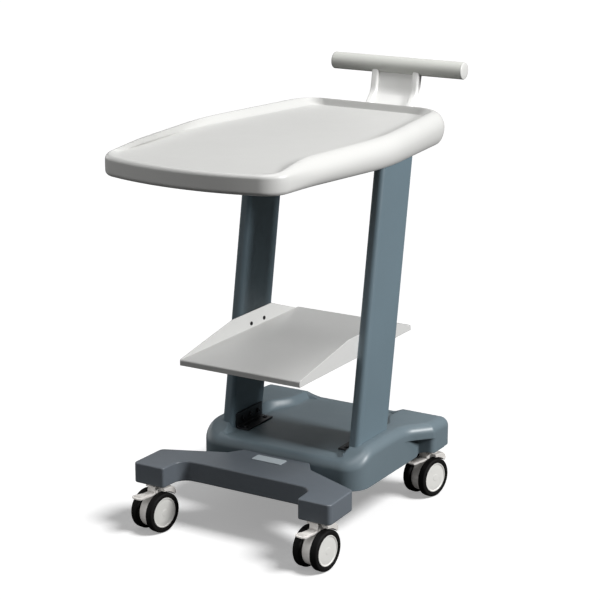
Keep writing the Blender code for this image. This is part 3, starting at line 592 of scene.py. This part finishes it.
def caster_fender():
    """Hood over both wheels, whose outer side edges are rounded."""
    inner_radius = 0.04
    outer = [(0.0325, 0.0315), (0.0322, 0.035), (0.0308, 0.0386), (0.0285, 0.0415), (0.0255, 0.0436),
             (0.0215, 0.0449), (0.0165, 0.0453), (0.0035, 0.0453), (0.0018, 0.0445)]
    rounding = ((1, 0.0018), (0.985, 0.0009), (0.955, 0.00027), (0.91, 0.0))
    rings = []
    for x, drop in [(-x, drop) for x, drop in rounding] + list(reversed(rounding)):
        ring = []
        for point in map(Vector, arc(inner_radius, 88, 44, 14) + outer):
            if point.length > inner_radius + 0.0003:
                point -= point.normalized() * drop
            ring.append((x * FENDER_HALF, point.x, point.y))
        rings.append(ring)
    return loft(rings)


def caster_pedal():
    """Brake pedal about its pivot: a tongue to the front with a ribbed, wider tip."""
    rings = []
    stations = 28
    start = -0.0006

    def lift(share):
        return 0.002 * smoothstep(0.15, 1.0, share)

    for k in range(stations + 1):
        share = k / stations
        close = max(0.0, (share - 0.88) / 0.12)
        half = lerp(0.00925, 0.0115, smoothstep(0.5, 0.72, share))
        half -= 0.005 * (1 - math.sqrt(max(0.0, 1 - close * close)))
        thick = PEDAL_HALF_SHEET - 0.001 * close * close
        middle = lift(share) - 0.0007 * close * close
        section = rounded(rectangle(-half, half, -thick, thick, 0.0009), 4)
        rings.append([(x, lerp(start, PEDAL_TIP_Y, share), z + middle) for x, z in section])
    knuckle = rod(KNUCKLE_RADIUS, (-KNUCKLE_REACH, 0, 0), (KNUCKLE_REACH, 0, 0), 36)
    ribs = []
    for y in (-0.031, -0.034, -0.037):
        top = PEDAL_HALF_SHEET + lift((y - start) / (PEDAL_TIP_Y - start))
        corners = rectangle(-KNUCKLE_REACH, KNUCKLE_REACH, y - 0.0006, y + 0.0006, 0.0005)
        ribs.append(slab(corners, top - 0.001, top + 0.0006, 0.0003, 3))
    return joined(loft(rings), knuckle, *ribs)


def caster_stem():
    """Stem, flange and kingpin, about the swivel axis on the floor."""
    top = BEAM_BOTTOM - GAP
    low = WHEEL_RADIUS + HOUSING_TOP + GAP
    profile = bent([
        (0, STEM_TOP, 0), (STEM_RADIUS - 0.0008, STEM_TOP, 0),
        (STEM_RADIUS, STEM_TOP - 0.001, 0), (STEM_RADIUS, top, 0),
        (0.016, top, 0.0006), (0.0165, lerp(low, top, 0.5), 0.001),
        (0.0158, low, 0.0006), (KINGPIN_RADIUS, low, 0),
        (KINGPIN_RADIUS, KINGPIN_BOTTOM, 0), (0, KINGPIN_BOTTOM, 0),
    ], 4)
    return lathe(profile, 56)


def add_casters():
    joints = {joint["name"]: joint for joint in frame["joints"]}
    tyre, hub, stem = caster_tyre(), caster_hub(), caster_stem()
    housing, pedal = caster_housing(), caster_pedal()
    for corner in ("front_left", "front_right", "rear_left", "rear_right"):
        swivel = Vector(joints[f"{corner}_swivel_turn"]["pos_m"])
        spin = joints[f"{corner}_left_wheel_spin"]
        yaw = math.atan2(spin["axis"][1], spin["axis"][0])
        place = Matrix.Translation(spin["pos_m"]) @ Matrix.Rotation(yaw, 4, "Z")
        piece(f"{corner}_stem_turned", stem, ZINC, node=f"{corner}_caster_stem",
              place=Matrix.Translation((swivel.x, swivel.y, 0)))
        piece(f"{corner}_housing_moulded", housing, NYLON, f"{corner}_swivel",
              f"{corner}_caster_housing", place, sharp=30)
        lever = place @ Matrix.Translation((0, *PEDAL_PIVOT))
        piece(f"{corner}_pedal_moulded", pedal, NYLON, f"{corner}_pedal",
              f"{corner}_brake_pedal", lever, sharp=30)
        for name, side in SIDES:
            wheel = place @ Matrix.Translation((side * WHEEL_OFFSET, 0, 0))
            if side < 0:
                wheel = wheel @ Matrix.Rotation(math.pi, 4, "Z")
            start = f"{corner}_{name}"
            body = f"{start}_wheel"
            piece(f"{start}_tread", tyre, RUBBER, body, f"{start}_tyre", wheel)
            piece(f"{start}_disc", hub, DISC, body, f"{start}_hub", wheel, sharp=30)


# ---- base

def add_front_beam():
    corners = mirrored([
        (0.1, -0.1785, 0.1), (0.137, -0.181, 0.023),
        (0.1405, -0.235, 0.005), (FOOT_OUTER_X, -0.235, 0.008),
        (0.2035, -0.15, 0.012), (0.089, -0.1015, 0.006),
        (BEAM_NECK_X, -0.0765, 0.004), (BEAM_NECK_X, -0.035, 0.004),
    ])
    beam = slab(corners, BEAM_BOTTOM, BEAM_TOP, 0.0026, 12)
    pocket = mirrored([
        (0.108, -0.1705, 0.006),
        (0.14, -0.153, 0.008),
        (0.084, -0.107, 0.006),
        (BEAM_NECK_X - 0.006, -0.083, 0.006),
        (BEAM_NECK_X - 0.006, -0.041, 0.004),
    ])
    ceiling = BEAM_TOP - BEAM_SHEET
    beam = cut(beam, slab(pocket, 0.06, ceiling, 0.0015, 8))
    for x in (-FRONT_STEM_X, FRONT_STEM_X):
        beam = cut(beam, rod(0.0062, (x, FRONT_STEM_Y, 0.05), (x, FRONT_STEM_Y, STEM_TOP + 0.0007)))
    piece("front_beam_coated", beam, BEAM_COAT, node="front_beam", sharp=32)
    ribs = []
    for x in (-0.05, 0.0, 0.05):
        corners = rectangle(x - 0.002, x + 0.002, -0.17, -0.042, 0.0008)
        ribs.append(slab(corners, 0.096, ceiling - 0.0002, 0.0006, 3))
    piece("front_beam_ribs", together(ribs), BEAM_COAT, sharp=32)
    low = BEAM_TOP + GAP
    label = slab(rectangle(-0.031, 0.031, -0.1115, -0.0875, 0.0025), low, low + 0.001, 0.0003, 6)
    piece("label_blank_plate", label, LABEL, node="label_plate")


def hood_corners(flared):
    """Outline of the hood, whose feet stand out in a step low down and in a flare on top."""
    concave = (HOOD_SIDE_X, 0.11, 0.05) if flared else (HOOD_SIDE_X, 0.1525, 0.004)
    return mirrored([
        (HOOD_SIDE_X, HOOD_FRONT_Y, 0.042),
        concave,
        (HOOD_FOOT_X, HOOD_FOOT_FRONT_Y, 0.01),
        (HOOD_FOOT_X, HOOD_REAR_Y, 0.016),
    ])


def hood_top(y):
    share = smoothstep(HOOD_FRONT_Y, HOOD_FRONT_Y + 0.06, y)
    back = min(max((y - 0.06) / (HOOD_REAR_Y - 0.06), 0), 1)
    return lerp(DECK_TOP, lerp(HOOD_TOP, HOOD_REAR_TOP, back), share)


def recess_half_width(y):
    return lerp(0.1262, 0.1, smoothstep(0.0975, 0.165, y))


def hood_height(x, y, distance):
    """Height of the hood's skin at a place, which is a distance inside its outline."""
    reach = max(HOOD_ROUNDING - distance, 0.0)
    dome = hood_top(y) - HOOD_ROUNDING + math.sqrt(HOOD_ROUNDING ** 2 - reach ** 2)
    wall_end = lerp(0.011, 0.022, smoothstep(0.09, 0.13, y))
    deck = DECK_TOP + 0.03 * smoothstep(-0.006, wall_end, abs(x) - recess_half_width(y))
    blend = 0.004
    share = min(max(0.5 + 0.5 * (deck - dome) / blend, 0), 1)
    return lerp(deck, dome, share) - blend * share * (1 - share)


def hood_outline(corners, distance):
    return rounded(inset(corners, distance) if distance else corners, 10, 14)


def hood_rings():
    """Rings from the ceiling's edge, down inside the wall, up outside it and over the top's edge."""
    step, flare = hood_corners(False), hood_corners(True)

    def bottom(y):
        return lerp(HOOD_BOTTOM, HOOD_FOOT_BOTTOM, smoothstep(0.149, 0.156, y))

    def blended(share, drop):
        pairs = zip(hood_outline(step, 0), hood_outline(flare, 0))
        line = [a.lerp(b, share) for a, b in pairs]
        return [(x, y, hood_top(y) - drop) for x, y in line]

    def inner(corners, distance, height):
        return [(x, y, height(y)) for x, y in hood_outline(corners, distance + HOOD_WALL)]

    ceiling = DECK_TOP - HOOD_WALL
    edge = HOOD_ROUNDING
    rings = []
    for degrees in (90, 60, 30, 0):
        angle = math.radians(degrees)
        distance = edge * (1 - math.cos(angle))
        drop = edge * (1 - math.sin(angle)) + HOOD_WALL
        rings.append(inner(flare, distance, lambda y, drop=drop: min(hood_top(y) - drop, ceiling)))
    rings.append(inner(step, 0, lambda y: hood_top(y) - edge - HOOD_LEDGE - HOOD_WALL))
    rings.append(inner(step, 0, lambda y: bottom(y) + 0.0006))
    for distance, rise in ((HOOD_WALL - 0.0006, 0), (0.001, 0), (0.0003, 0.0003), (0, 0.001)):
        rings.append([(x, y, bottom(y) + rise) for x, y in hood_outline(step, distance)])
    drop = edge + HOOD_LEDGE
    for share, extra in ((0, 0.0022), (0.03, 0.0009), (0.12, 0.0002), (0.5, 0), (0.88, -0.0004),
                         (0.97, -0.0013), (1, -0.003)):
        rings.append(blended(share, drop + extra))
    steps = 13
    distances = [edge * (1 - math.cos(math.radians(90 * k / steps))) for k in range(steps + 1)]
    for distance in distances:
        line = hood_outline(flare, distance)
        rings.append([(x, y, hood_height(x, y, distance)) for x, y in line])
    return rings


def base_hood_mesh():
    work = bmesh.new()
    rows = [[work.verts.new(point) for point in ring] for ring in hood_rings()]
    bridge(work, rows)
    work.faces.new(rows[0])
    border = [Vector(vert.co[:2]) for vert in rows[-1]]
    count = len(border)
    loop = [(i, (i + 1) % count) for i in range(count)]
    points, _, faces, origins, _, _ = delaunay_2d_cdt(border + hood_grid(border), loop, [], 1, 1e-7)
    made = []
    for point, source in zip(points, origins):
        first = source[0] if source else None
        if first is not None and first < count:
            made.append(rows[-1][first])
        else:
            height = hood_height(point.x, point.y, HOOD_ROUNDING)
            made.append(work.verts.new((point.x, point.y, height)))
    for face in faces:
        work.faces.new([made[i] for i in face])
    return baked(work)


def hood_grid(border):
    """Places inside the hood's top, close together across the recess's walls."""
    low = min(point.y for point in border)
    high = max(point.y for point in border)
    rows = int((high - low) / 0.0042)
    places = []
    for row in range(1, rows):
        y = lerp(low, high, row / rows)
        half = max(crossing(border, y))
        wall = recess_half_width(y)
        spots = [wall + d for d in (-0.01, -0.006, -0.004, -0.0025, -0.001, 0.0005, 0.002, 0.0035,
                                    0.005, 0.0065, 0.008, 0.0095, 0.011, 0.013, 0.016, 0.02)]
        spots += [wall * share for share in (0.15, 0.35, 0.55, 0.75)]
        spots += [x for x in (wall + 0.025, wall + 0.031) if y > 0.12]
        for x in spots:
            if x < half - 0.0012:
                places += [Vector((x, y)), Vector((-x, y))]
        places.append(Vector((0.0, y)))
    return places


def crossing(border, y):
    """Half-widths at which an outline crosses a line across the trolley."""
    found = [0.0]
    for a, b in zip(border, border[1:] + border[:1]):
        if (a.y - y) * (b.y - y) <= 0 and a.y != b.y:
            found.append(lerp(a.x, b.x, (y - a.y) / (b.y - a.y)))
    return found


def column_line(z, grow=0.0, side=1, steps=10):
    """Level section of a column, with a round front edge and a squarer rear."""
    half = COLUMN_THICKNESS / 2 + grow
    middle_x = COLUMN_INNER_X + COLUMN_THICKNESS / 2
    middle_y = COLUMN_Y + COLUMN_LEAN * (z - COLUMN_Y_LEVEL)
    reach = COLUMN_DEPTH / 2 + grow
    rear = max(0.004 + grow, 0.001)
    corners = [
        (half, -reach, half * 0.8),
        (half, reach, rear),
        (-half, reach, rear),
        (-half, -reach, half * 0.8),
    ]
    return [(side * (middle_x + x), middle_y + y) for x, y in rounded(corners, steps)]


def add_base_hood():
    slots = []
    for side in (-1, 1):
        rings = [[(x, y, z) for x, y in column_line(z, 0.0005, side)] for z in (0.1, 0.22)]
        slots.append(loft(rings))
    half = BEAM_NECK_X + 0.0006
    notch = box_mesh((-half, -0.1, 0.05), (half, -0.06, BEAM_TOP + GAP))
    hood = cut(base_hood_mesh(), notch, *slots)
    piece("base_hood_moulded", hood, SLATE_MOULDED, node="base_hood", sharp=40)


# ---- columns

def table_bottom(y):
    share = (y - TABLE_FRONT_Y) / (TABLE_REAR_Y - TABLE_FRONT_Y)
    return lerp(TABLE_BOTTOM_FRONT, TABLE_BOTTOM_REAR, share)


def facing_side(side, y, z, x):
    """Placement of something seated against a column, facing the middle of the trolley."""
    turn = Matrix.Rotation(-side * math.pi / 2, 4, "Y")
    return Matrix.Translation((side * x, y, z)) @ turn


def add_columns():
    for name, side in SIDES:
        rings = []
        for grow in (0, -COLUMN_WALL):
            bottom = [(x, y, COLUMN_BOTTOM) for x, y in column_line(COLUMN_BOTTOM, grow, side)]
            top = [(x, y, table_bottom(y) - MOUNT_SHEET - 2 * GAP)
                   for x, y in column_line(TABLE_BOTTOM_REAR, grow, side)]
            rings += [bottom, top] if grow == 0 else [top, bottom]
        piece(f"{name}_column_coated", loft(rings, tube=True), SLATE_COAT,
              node=f"{name}_column", sharp=32)
        corners = rectangle(side * 0.119, side * 0.151, 0.052, 0.172, 0.006)
        plate = slab(corners, 0.0, MOUNT_SHEET, 0.0005, 6)
        for vert in plate.vertices:
            vert.co.z += table_bottom(vert.co.y) - GAP - MOUNT_SHEET
        piece(f"{name}_mount_plate_coated", plate, BLACK_COAT,
              node=f"{name}_column_mount_plate")
        add_foot_bracket(name, side)


def add_foot_bracket(name, side):
    face = COLUMN_INNER_X - GAP
    low = DECK_TOP + GAP
    high = low + BRACKET_RISE
    section = [
        (face, low, 0.0052), (face, high, 0.0005),
        (face - BRACKET_SHEET, high, 0.0005), (face - BRACKET_SHEET, low + BRACKET_SHEET, 0.0025),
        (face - BRACKET_FOOT, low + BRACKET_SHEET, 0.0005), (face - BRACKET_FOOT, low, 0.0005),
    ]
    mesh = slab([(side * x, z, r) for x, z, r in section], -0.018, 0.07, 0.0004, 5, "Y")
    piece(f"{name}_foot_bracket_folded", mesh, BLACK_COAT,
          node=f"{name}_foot_bracket", sharp=30)
    seat = face - BRACKET_SHEET - GAP
    heads = []
    for y in FOOT_BOLT_Y:
        place = facing_side(side, y, FOOT_BOLT_Z, seat)
        heads.append(moved(socket_head(0.0045, 0.003), place))
        heads.append(moved(washer(0.0058, 0.0024, 0.0003), place))
    piece(f"{name}_foot_bolt_heads", together(heads), DARK_STEEL,
          node=f"{name}_foot_bolts", sharp=30)
    screws = []
    for y in (-0.0075, 0.0585):
        place = Matrix.Translation((side * 0.1085, y, low + BRACKET_SHEET + 0.0001))
        screws.append(moved(socket_head(0.0042, 0.0026), place))
    piece(f"{name}_bracket_screws", together(screws), DARK_STEEL, sharp=30)


def washer(radius, hole, thickness):
    profile = [(radius, 0.0), (radius, thickness), (hole, thickness), (hole, 0.0)]
    return lathe(profile, 40, closed=True)


# ---- shelf

def add_shelf():
    edge, sheet = SHELF_EDGE, SHELF_SHEET
    front, rear = SHELF_FRONT_Y, SHELF_REAR_Y - 0.0006
    section = [
        (front, SHELF_BOTTOM + 0.0004, 0.0005), (front, SHELF_FLOOR, 0.003),
        (rear, SHELF_FLOOR, 0.003), (rear, SHELF_BOTTOM + 0.0004, 0.0005),
        (rear - sheet, SHELF_BOTTOM + 0.0004, 0.0005), (rear - sheet, SHELF_FLOOR - sheet, 0.0012),
        (front + sheet, SHELF_FLOOR - sheet, 0.0012), (front + sheet, SHELF_BOTTOM + 0.0004, 0.0005),
    ]
    shelf = slab(section, 0.0006 - edge, edge - 0.0006, 0.0004, 6, "X")
    side_view = [
        (front - 0.0002, SHELF_BOTTOM, 0.0012), (SHELF_REAR_Y, SHELF_BOTTOM, 0.0012),
        (SHELF_REAR_Y, SHELF_FLOOR - 0.004, 0.003), (0.1085, SHELF_SIDE_TOP, 0.014),
        (-0.029, SHELF_SIDE_TOP, 0.022), (front - 0.0002, SHELF_FLOOR + 0.001, 0.004),
    ]
    for side in (-1, 1):
        outer, inner = side * edge, side * (edge - sheet)
        plate = slab(side_view, min(outer, inner), max(outer, inner), 0.0006, 10, "X")
        fillet = slab([
            (side * (edge - sheet - 0.0012), SHELF_FLOOR - 0.0006, 0.0002),
            (side * (edge - sheet + 0.0006), SHELF_FLOOR - 0.0006, 0.0002),
            (side * (edge - sheet + 0.0006), SHELF_FLOOR + 0.0012, 0.0002),
        ], front + 0.0035, rear - 0.0035, 0.0001, 2, "Y")
        shelf = joined(shelf, plate, fillet)
    piece("shelf_folded", shelf, SHELF_COAT, node="shelf", sharp=30)
    for name, side in SIDES:
        heads = []
        for y in SHELF_SCREW_Y:
            place = facing_side(side, y, SHELF_SCREW_Z, edge - sheet - GAP)
            heads.append(moved(socket_head(0.0038, 0.0022, edge=0.0016), place))
        piece(f"{name}_shelf_screw_heads", together(heads), BLACK_COAT,
              node=f"{name}_shelf_screws", sharp=30)


# ---- table

def table_corners():
    return mirrored([
        (0, TABLE_FRONT_Y - 0.0195, 0.45),
        (0.175, -0.352, 0.05),
        (0.208, -0.0215, 0.5),
        (0.162, TABLE_REAR_Y, 0.07),
    ])


def tray_corners():
    return mirrored([
        (0, TABLE_FRONT_Y + 0.0065, 0.43),
        (0.161, -0.34, 0.07),
        (0.18, -0.0795, 0.4),
        (0.118, 0.2655, 0.026),
    ])


def table_line(corners):
    """Outline with as many points as every other ring of the table."""
    return rounded(corners, 20, 14)


def table_ring(distance, height, front_distance=None):
    """Ring about the tabletop; its inset can differ along the open front edge.

    The height is worked out from y and the share that the front edge has there.
    """
    side = table_line(inset(table_corners(), distance))
    if front_distance is None:
        front_distance = distance
    front = table_line(inset(table_corners(), front_distance))
    ring = []
    for edge, a, b in zip(table_line(table_corners()), side, front):
        share = 1 - smoothstep(RIM_START_Y, RIM_FULL_Y, edge.y)
        spot = a.lerp(b, share)
        ring.append((spot.x, spot.y, height(edge.y, share)))
    return ring


def lower_edge_ring(k, steps):
    """Ring of the rounded lower edge, whose front turns sooner and then stands upright."""
    angle = math.radians(90 * k / steps)
    turn = math.radians(90 * min(k / 8, 1))
    rise = FRONT_EDGE * (1 - math.cos(turn))

    def height(y, front_share):
        side = lerp(table_bottom(y), TABLE_WIDEST_Z, 1 - math.cos(angle))
        front = lerp(table_bottom(y) + rise, TABLE_WIDEST_Z, max(k - 8, 0) / (steps - 8))
        return lerp(side, front, front_share)

    distance = TABLE_BOTTOM_ROUNDING * (1 - math.sin(angle))
    return table_ring(distance, height, FRONT_EDGE * (1 - math.sin(turn)))


def upper_edge_ring(k, steps):
    """Ring of the rounded upper edge, whose front stands upright first and is lower."""
    angle = math.radians(90 * k / steps)
    turn = math.radians(90 * max(k - 4, 0) / (steps - 4))

    def height(y, front_share):
        side = lerp(TABLE_WIDEST_Z, TABLE_RIM_TOP, math.sin(angle))
        if k < 4:
            front = lerp(TABLE_WIDEST_Z, FRONT_TOP - FRONT_EDGE, k / 4)
        else:
            front = FRONT_TOP + FRONT_EDGE * (math.sin(turn) - 1)
        return lerp(side, front, front_share)

    distance = TABLE_TOP_ROUNDING * (1 - math.cos(angle))
    return table_ring(distance, height, FRONT_EDGE * (1 - math.cos(turn)))


def tray_rings(crest_ring):
    """Rings from the crest of the rim down to the tray's floor, and a little way in."""
    rings = []
    for share in (0.1, 0.22, 0.34, 0.44, 0.54, 0.64, 0.76, 0.88, 1.0):
        ring = []
        fall = smoothstep(0, 1, share) * 0.8 + share * 0.2
        for crest, foot in zip(crest_ring, table_line(tray_corners())):
            z = lerp(crest[2], TABLE_FLOOR, fall)
            ring.append((lerp(crest[0], foot.x, share), lerp(crest[1], foot.y, share), z))
        rings.append(ring)
    for distance in (0.0015, 0.006):
        line = table_line(inset(tray_corners(), distance))
        rings.append([(x, y, TABLE_FLOOR) for x, y in line])
    return rings


def add_tabletop():
    ceiling = TABLE_FLOOR - TABLE_SHEET
    rings = [
        table_ring(0.0095, lambda y, _: ceiling),
        table_ring(0.008, lambda y, _: ceiling - 0.0012),
        table_ring(0.006, lambda y, _: TABLE_WIDEST_Z),
        table_ring(0.009, lambda y, _: table_bottom(y) + 0.014),
        table_ring(TABLE_OPENING, lambda y, _: table_bottom(y) + 0.0055),
        table_ring(TABLE_OPENING, lambda y, _: table_bottom(y) + 0.0006),
        table_ring(TABLE_OPENING - 0.0006, lambda y, _: table_bottom(y)),
    ]
    rings += [lower_edge_ring(k, 11) for k in range(12)]
    rings += [upper_edge_ring(k, 14) for k in range(1, 15)]
    rings += tray_rings(rings[-1])
    piece("tabletop_moulded", loft(rings), TABLE_WHITE, node="table_top", sharp=50)


def add_table_underside():
    inset_by = TABLE_OPENING + 0.0006
    rings = []
    for distance, level in ((0.0012, 0.0001), (0.0004, 0.0003), (0, 0.001), (0, 0.003)):
        rings.append(table_ring(inset_by + distance, lambda y, _, level=level: table_bottom(y) + level))
    piece("table_underside_panel", loft(rings), TABLE_WHITE, node="table_underside")
    places = [(0.105, -0.33), (0.16, -0.18), (0.17, -0.02), (0.15, 0.215), (0.06, 0.255)]
    heads = []
    slope = math.atan((TABLE_BOTTOM_FRONT - TABLE_BOTTOM_REAR) / (TABLE_REAR_Y - TABLE_FRONT_Y))
    turn = Matrix.Rotation(math.pi - slope, 4, "X")
    for x, y in places:
        for side in (-1, 1):
            place = Matrix.Translation((side * x, y, table_bottom(y) + 0.0003)) @ turn
            heads.append(moved(socket_head(0.004, 0.0022, edge=0.0016), place))
    piece("table_underside_screws", together(heads), ZINC, sharp=30)


# ---- handle

def arm_corners(front, rear):
    """Side view of an arm, with its front and rear faces moved in."""
    over = table_bottom(0.25) - 3 * GAP
    under = over - 0.0145
    return [
        (BRACKET_FRONT_Y + rear, under + rear, 0.001), (0.303 - 0.4 * rear, under + rear, 0.03),
        (0.3745 - rear, 0.744, 0.04), (0.384 - rear, 0.786 - rear, 0.001),
        (0.3665 + front, 0.786 - rear, 0.001), (0.3575 + front, 0.737, 0.03),
        (0.2897 + 0.6 * front, over - front, 0.024), (BRACKET_FRONT_Y + rear, over - front, 0.001),
    ]


def add_handle():
    arms = []
    for middle in (-RIB_MIDDLE_X, RIB_MIDDLE_X):
        arms.append(slab(arm_corners(0, 0), middle - RIB_HALF, middle + RIB_HALF, 0.0042, 12, "X"))
    reach = RIB_MIDDLE_X - RIB_HALF + 0.001
    web = slab(arm_corners(0.0065, 0.0015), -reach, reach, 0.0003, 12, "X")
    bracket = joined(web, *arms)
    seat = rod(BAR_RADIUS + 0.0003, (-0.1, BAR_Y, BAR_Z), (0.1, BAR_Y, BAR_Z), 64)
    # The bracket's lighter white is painted light on its front-facing faces.
    piece("handle_bracket_moulded", cut(bracket, seat), BRACKET_WHITE_PAINTED_LIGHT,
          node="handle_bracket", sharp=30)
    place = Matrix.Translation((0, BAR_Y, BAR_Z)) @ ALONG_X
    inner = BAR_RADIUS - 0.002
    half = BAR_HALF_LENGTH
    wall = rounded([(BAR_RADIUS, -half, 0.0004), (BAR_RADIUS, half, 0.0004),
                    (inner, half, 0.0003), (inner, -half, 0.0003)], 3)
    piece("handle_bar_tube", lathe(wall, 72, closed=True), HANDLE_GREY,
          node="handle_bar", place=place)
    cap = lathe(bent([
        (0, 0.0045, 0), (0.0085, 0.0044, 0.02),
        (BAR_RADIUS, 0.003, 0.0022), (BAR_RADIUS, GAP, 0.0003),
        (inner - 0.0006, GAP, 0), (inner - 0.0006, -0.01, 0.001),
        (0, -0.01, 0),
    ], 6), 72)
    for name, side in SIDES:
        end = Matrix.Translation((side * half, BAR_Y, BAR_Z))
        turn = Matrix.Rotation(side * math.pi / 2, 4, "Y")
        piece(f"{name}_handle_cap_moulded", cap.copy(), CAP_WHITE,
              node=f"{name}_handle_cap", place=end @ turn)


# ---- carried nodes

def dress_carried_nodes():
    """Better finishes for the CAD nodes that are still shown."""
    slots = {part["node"]: part["material_slot"] for part in frame["record"]["subparts"]}
    for name, node in frame["nodes"].items():
        if node.hide_render:
            continue
        finish = CARRIED_LOOKS[slots[name]]
        if not node.material_slots:
            node.data.materials.append(finish)
        for place in node.material_slots:
            place.material = finish


# ---- stage

def add_stage():
    """Pale floor: open from below, and dimmer as a light source than it looks."""
    work = bmesh.new()
    bmesh.ops.create_grid(work, x_segments=1, y_segments=1, size=60)
    mesh = bpy.data.meshes.new("floor")
    work.to_mesh(mesh)
    work.free()
    floor = new_object("floor", mesh)
    floor.location = (0, 0, -0.0004)
    made = bpy.data.materials.new("studio_floor")
    made.use_nodes = True
    nodes, links = made.node_tree.nodes, made.node_tree.links
    nodes.remove(nodes["Principled BSDF"])

    def mixed(share, first, second):
        blend = nodes.new("ShaderNodeMixShader")
        links.new(share, blend.inputs[0])
        links.new(first, blend.inputs[1])
        links.new(second, blend.inputs[2])
        return blend.outputs[0]

    shown = nodes.new("ShaderNodeBsdfDiffuse")
    shown.inputs["Color"].default_value = (0.95, 0.95, 0.95, 1)
    glow = nodes.new("ShaderNodeEmission")
    glow.inputs["Color"].default_value = (1, 1, 1, 1)
    glow.inputs["Strength"].default_value = 0.31
    lit = nodes.new("ShaderNodeAddShader")
    links.new(shown.outputs[0], lit.inputs[0])
    links.new(glow.outputs[0], lit.inputs[1])
    dim = nodes.new("ShaderNodeBsdfDiffuse")
    dim.inputs["Color"].default_value = (0.09, 0.09, 0.09, 1)
    rays = nodes.new("ShaderNodeLightPath")
    top = mixed(rays.outputs["Is Camera Ray"], dim.outputs[0], lit.outputs[0])
    clear = nodes.new("ShaderNodeBsdfTransparent")
    side = nodes.new("ShaderNodeNewGeometry")
    surface = mixed(side.outputs["Backfacing"], top, clear.outputs[0])
    links.new(surface, nodes["Material Output"].inputs["Surface"])
    mesh.materials.append(made)


def add_sun(name, direction, strength, spread):
    """Distant soft light; direction points towards it."""
    light = bpy.data.lights.new(name, "SUN")
    light.energy = strength
    light.angle = math.radians(spread)
    item = new_object(name, light)
    item.rotation_euler = Vector(direction).to_track_quat("Z", "Y").to_euler()
    return item


def add_key(name, power):
    """Soft box to the right, which faces the middle of the trolley."""
    light = bpy.data.lights.new(name, "AREA")
    light.shape = "DISK"
    light.size = 0.7
    light.energy = power
    item = new_object(name, light)
    towards = Vector((0.86, 0.09, 0.43)).normalized()
    item.location = Vector((0, 0, 0.35)) + towards * 3.1
    item.rotation_euler = towards.to_track_quat("Z", "Y").to_euler()
    return item


def collection(name, items):
    made = bpy.data.collections.new(name)
    for item in items:
        made.objects.link(item)
    return made


def link_lights(lights, lit, blockers=None):
    """Lets lights fall on some objects only, and be shadowed by some only."""
    for light in lights:
        light.light_linking.receiver_collection = lit
        if blockers is not None:
            light.light_linking.blocker_collection = blockers


def add_lights():
    """Soft key from the right and weak fills; the floor and shelf have lights of their own."""
    floor, shelf = bpy.data.objects["floor"], bpy.data.objects["shelf_folded"]
    parts = [item for item in bpy.context.scene.objects if item.type == "MESH" and item != floor]
    low_parts = collection("low_parts", [
        item for item in parts
        if max((item.matrix_world @ Vector(corner)).z for corner in item.bound_box) < 0.2
    ])
    fills = [
        add_sun("top_soft", (0.1, -0.1, 1.0), 2.5, 40),
        add_sun("fill_front", (-0.45, -0.85, 0.3), 0.54, 70),
        add_sun("fill_left", (-0.92, 0.1, 0.15), 0.9, 50),
        add_sun("fill_high", (-0.4, 0.62, 0.68), 0.28, 40),
        add_sun("fill_rear", (-0.35, 0.92, -0.18), 0.9, 20),
        add_sun("fill_low", (0.1, 0.1, -1.0), 0.5, 60),
    ]
    link_lights(fills, collection("trolley_lit", parts))
    key = add_key("key_right", 118)
    link_lights([key], collection("key_lit", [item for item in parts if item != shelf]))
    shelf_lights = [add_key("key_shelf", 112), add_sun("fill_shelf", (-0.4, 0.2, 0.8), 0.5, 40)]
    link_lights(shelf_lights, collection("shelf_lit", [shelf]), low_parts)
    bounce = add_sun("floor_bounce", (-0.25, -0.95, 0.1), 1.6, 80)
    ends = ("_housing_moulded", "_pedal_moulded")
    link_lights([bounce], collection("caster_bodies", [p for p in parts if p.name.endswith(ends)]))
    shade = add_sun("floor_light", (0.6, 0.03, 0.8), 2.7, 21)
    link_lights([shade], collection("floor_lit", [floor]), low_parts)


def add_world():
    """Dim surroundings that grow paler upwards, and white behind everything."""
    world = bpy.data.worlds.new("studio")
    bpy.context.scene.world = world
    world.use_nodes = True
    nodes, links = world.node_tree.nodes, world.node_tree.links
    back = nodes["Background"]
    place = nodes.new("ShaderNodeTexCoord")
    split = nodes.new("ShaderNodeSeparateXYZ")
    ramp = nodes.new("ShaderNodeValToRGB")
    links.new(place.outputs["Generated"], split.inputs[0])
    links.new(split.outputs["Z"], ramp.inputs[0])
    steps = ((0.0, 0.012), (0.35, 0.035), (0.85, 0.16))
    while len(ramp.color_ramp.elements) < len(steps):
        ramp.color_ramp.elements.new(0.5)
    for element, (spot, level) in zip(ramp.color_ramp.elements, steps):
        element.position = spot
        element.color = (level, level, level, 1)
    rays = nodes.new("ShaderNodeLightPath")
    pale = nodes.new("ShaderNodeMix")
    pale.data_type = "RGBA"
    links.new(rays.outputs["Is Camera Ray"], pale.inputs[0])
    links.new(ramp.outputs[0], pale.inputs[6])
    pale.inputs[7].default_value = (1.0, 1.0, 1.0, 1)
    links.new(pale.outputs[2], back.inputs[0])
    back.inputs[1].default_value = 1.0


def add_camera():
    lens = bpy.data.cameras.new("camera")
    camera = new_object("camera", lens)
    azimuth, elevation = math.radians(30.98), math.radians(15.84)
    target, distance = Vector((0.1697, -0.2795, 0.4851)), 3.0905
    flat = math.cos(elevation)
    back = Vector((math.sin(azimuth) * flat, -math.cos(azimuth) * flat, math.sin(elevation)))
    camera.location = target + back * distance
    camera.rotation_euler = back.to_track_quat("Z", "Y").to_euler()
    lens.sensor_width = 36
    lens.lens = 112.98
    lens.shift_x = 0.0028
    lens.shift_y = 0.0128
    lens.clip_end = 100
    bpy.context.scene.camera = camera
    bpy.context.scene.view_settings.view_transform = "Standard"


add_casters()
add_front_beam()
add_base_hood()
add_columns()
add_shelf()
add_tabletop()
add_table_underside()
add_handle()
dress_carried_nodes()
add_stage()
add_lights()
add_world()
add_camera()
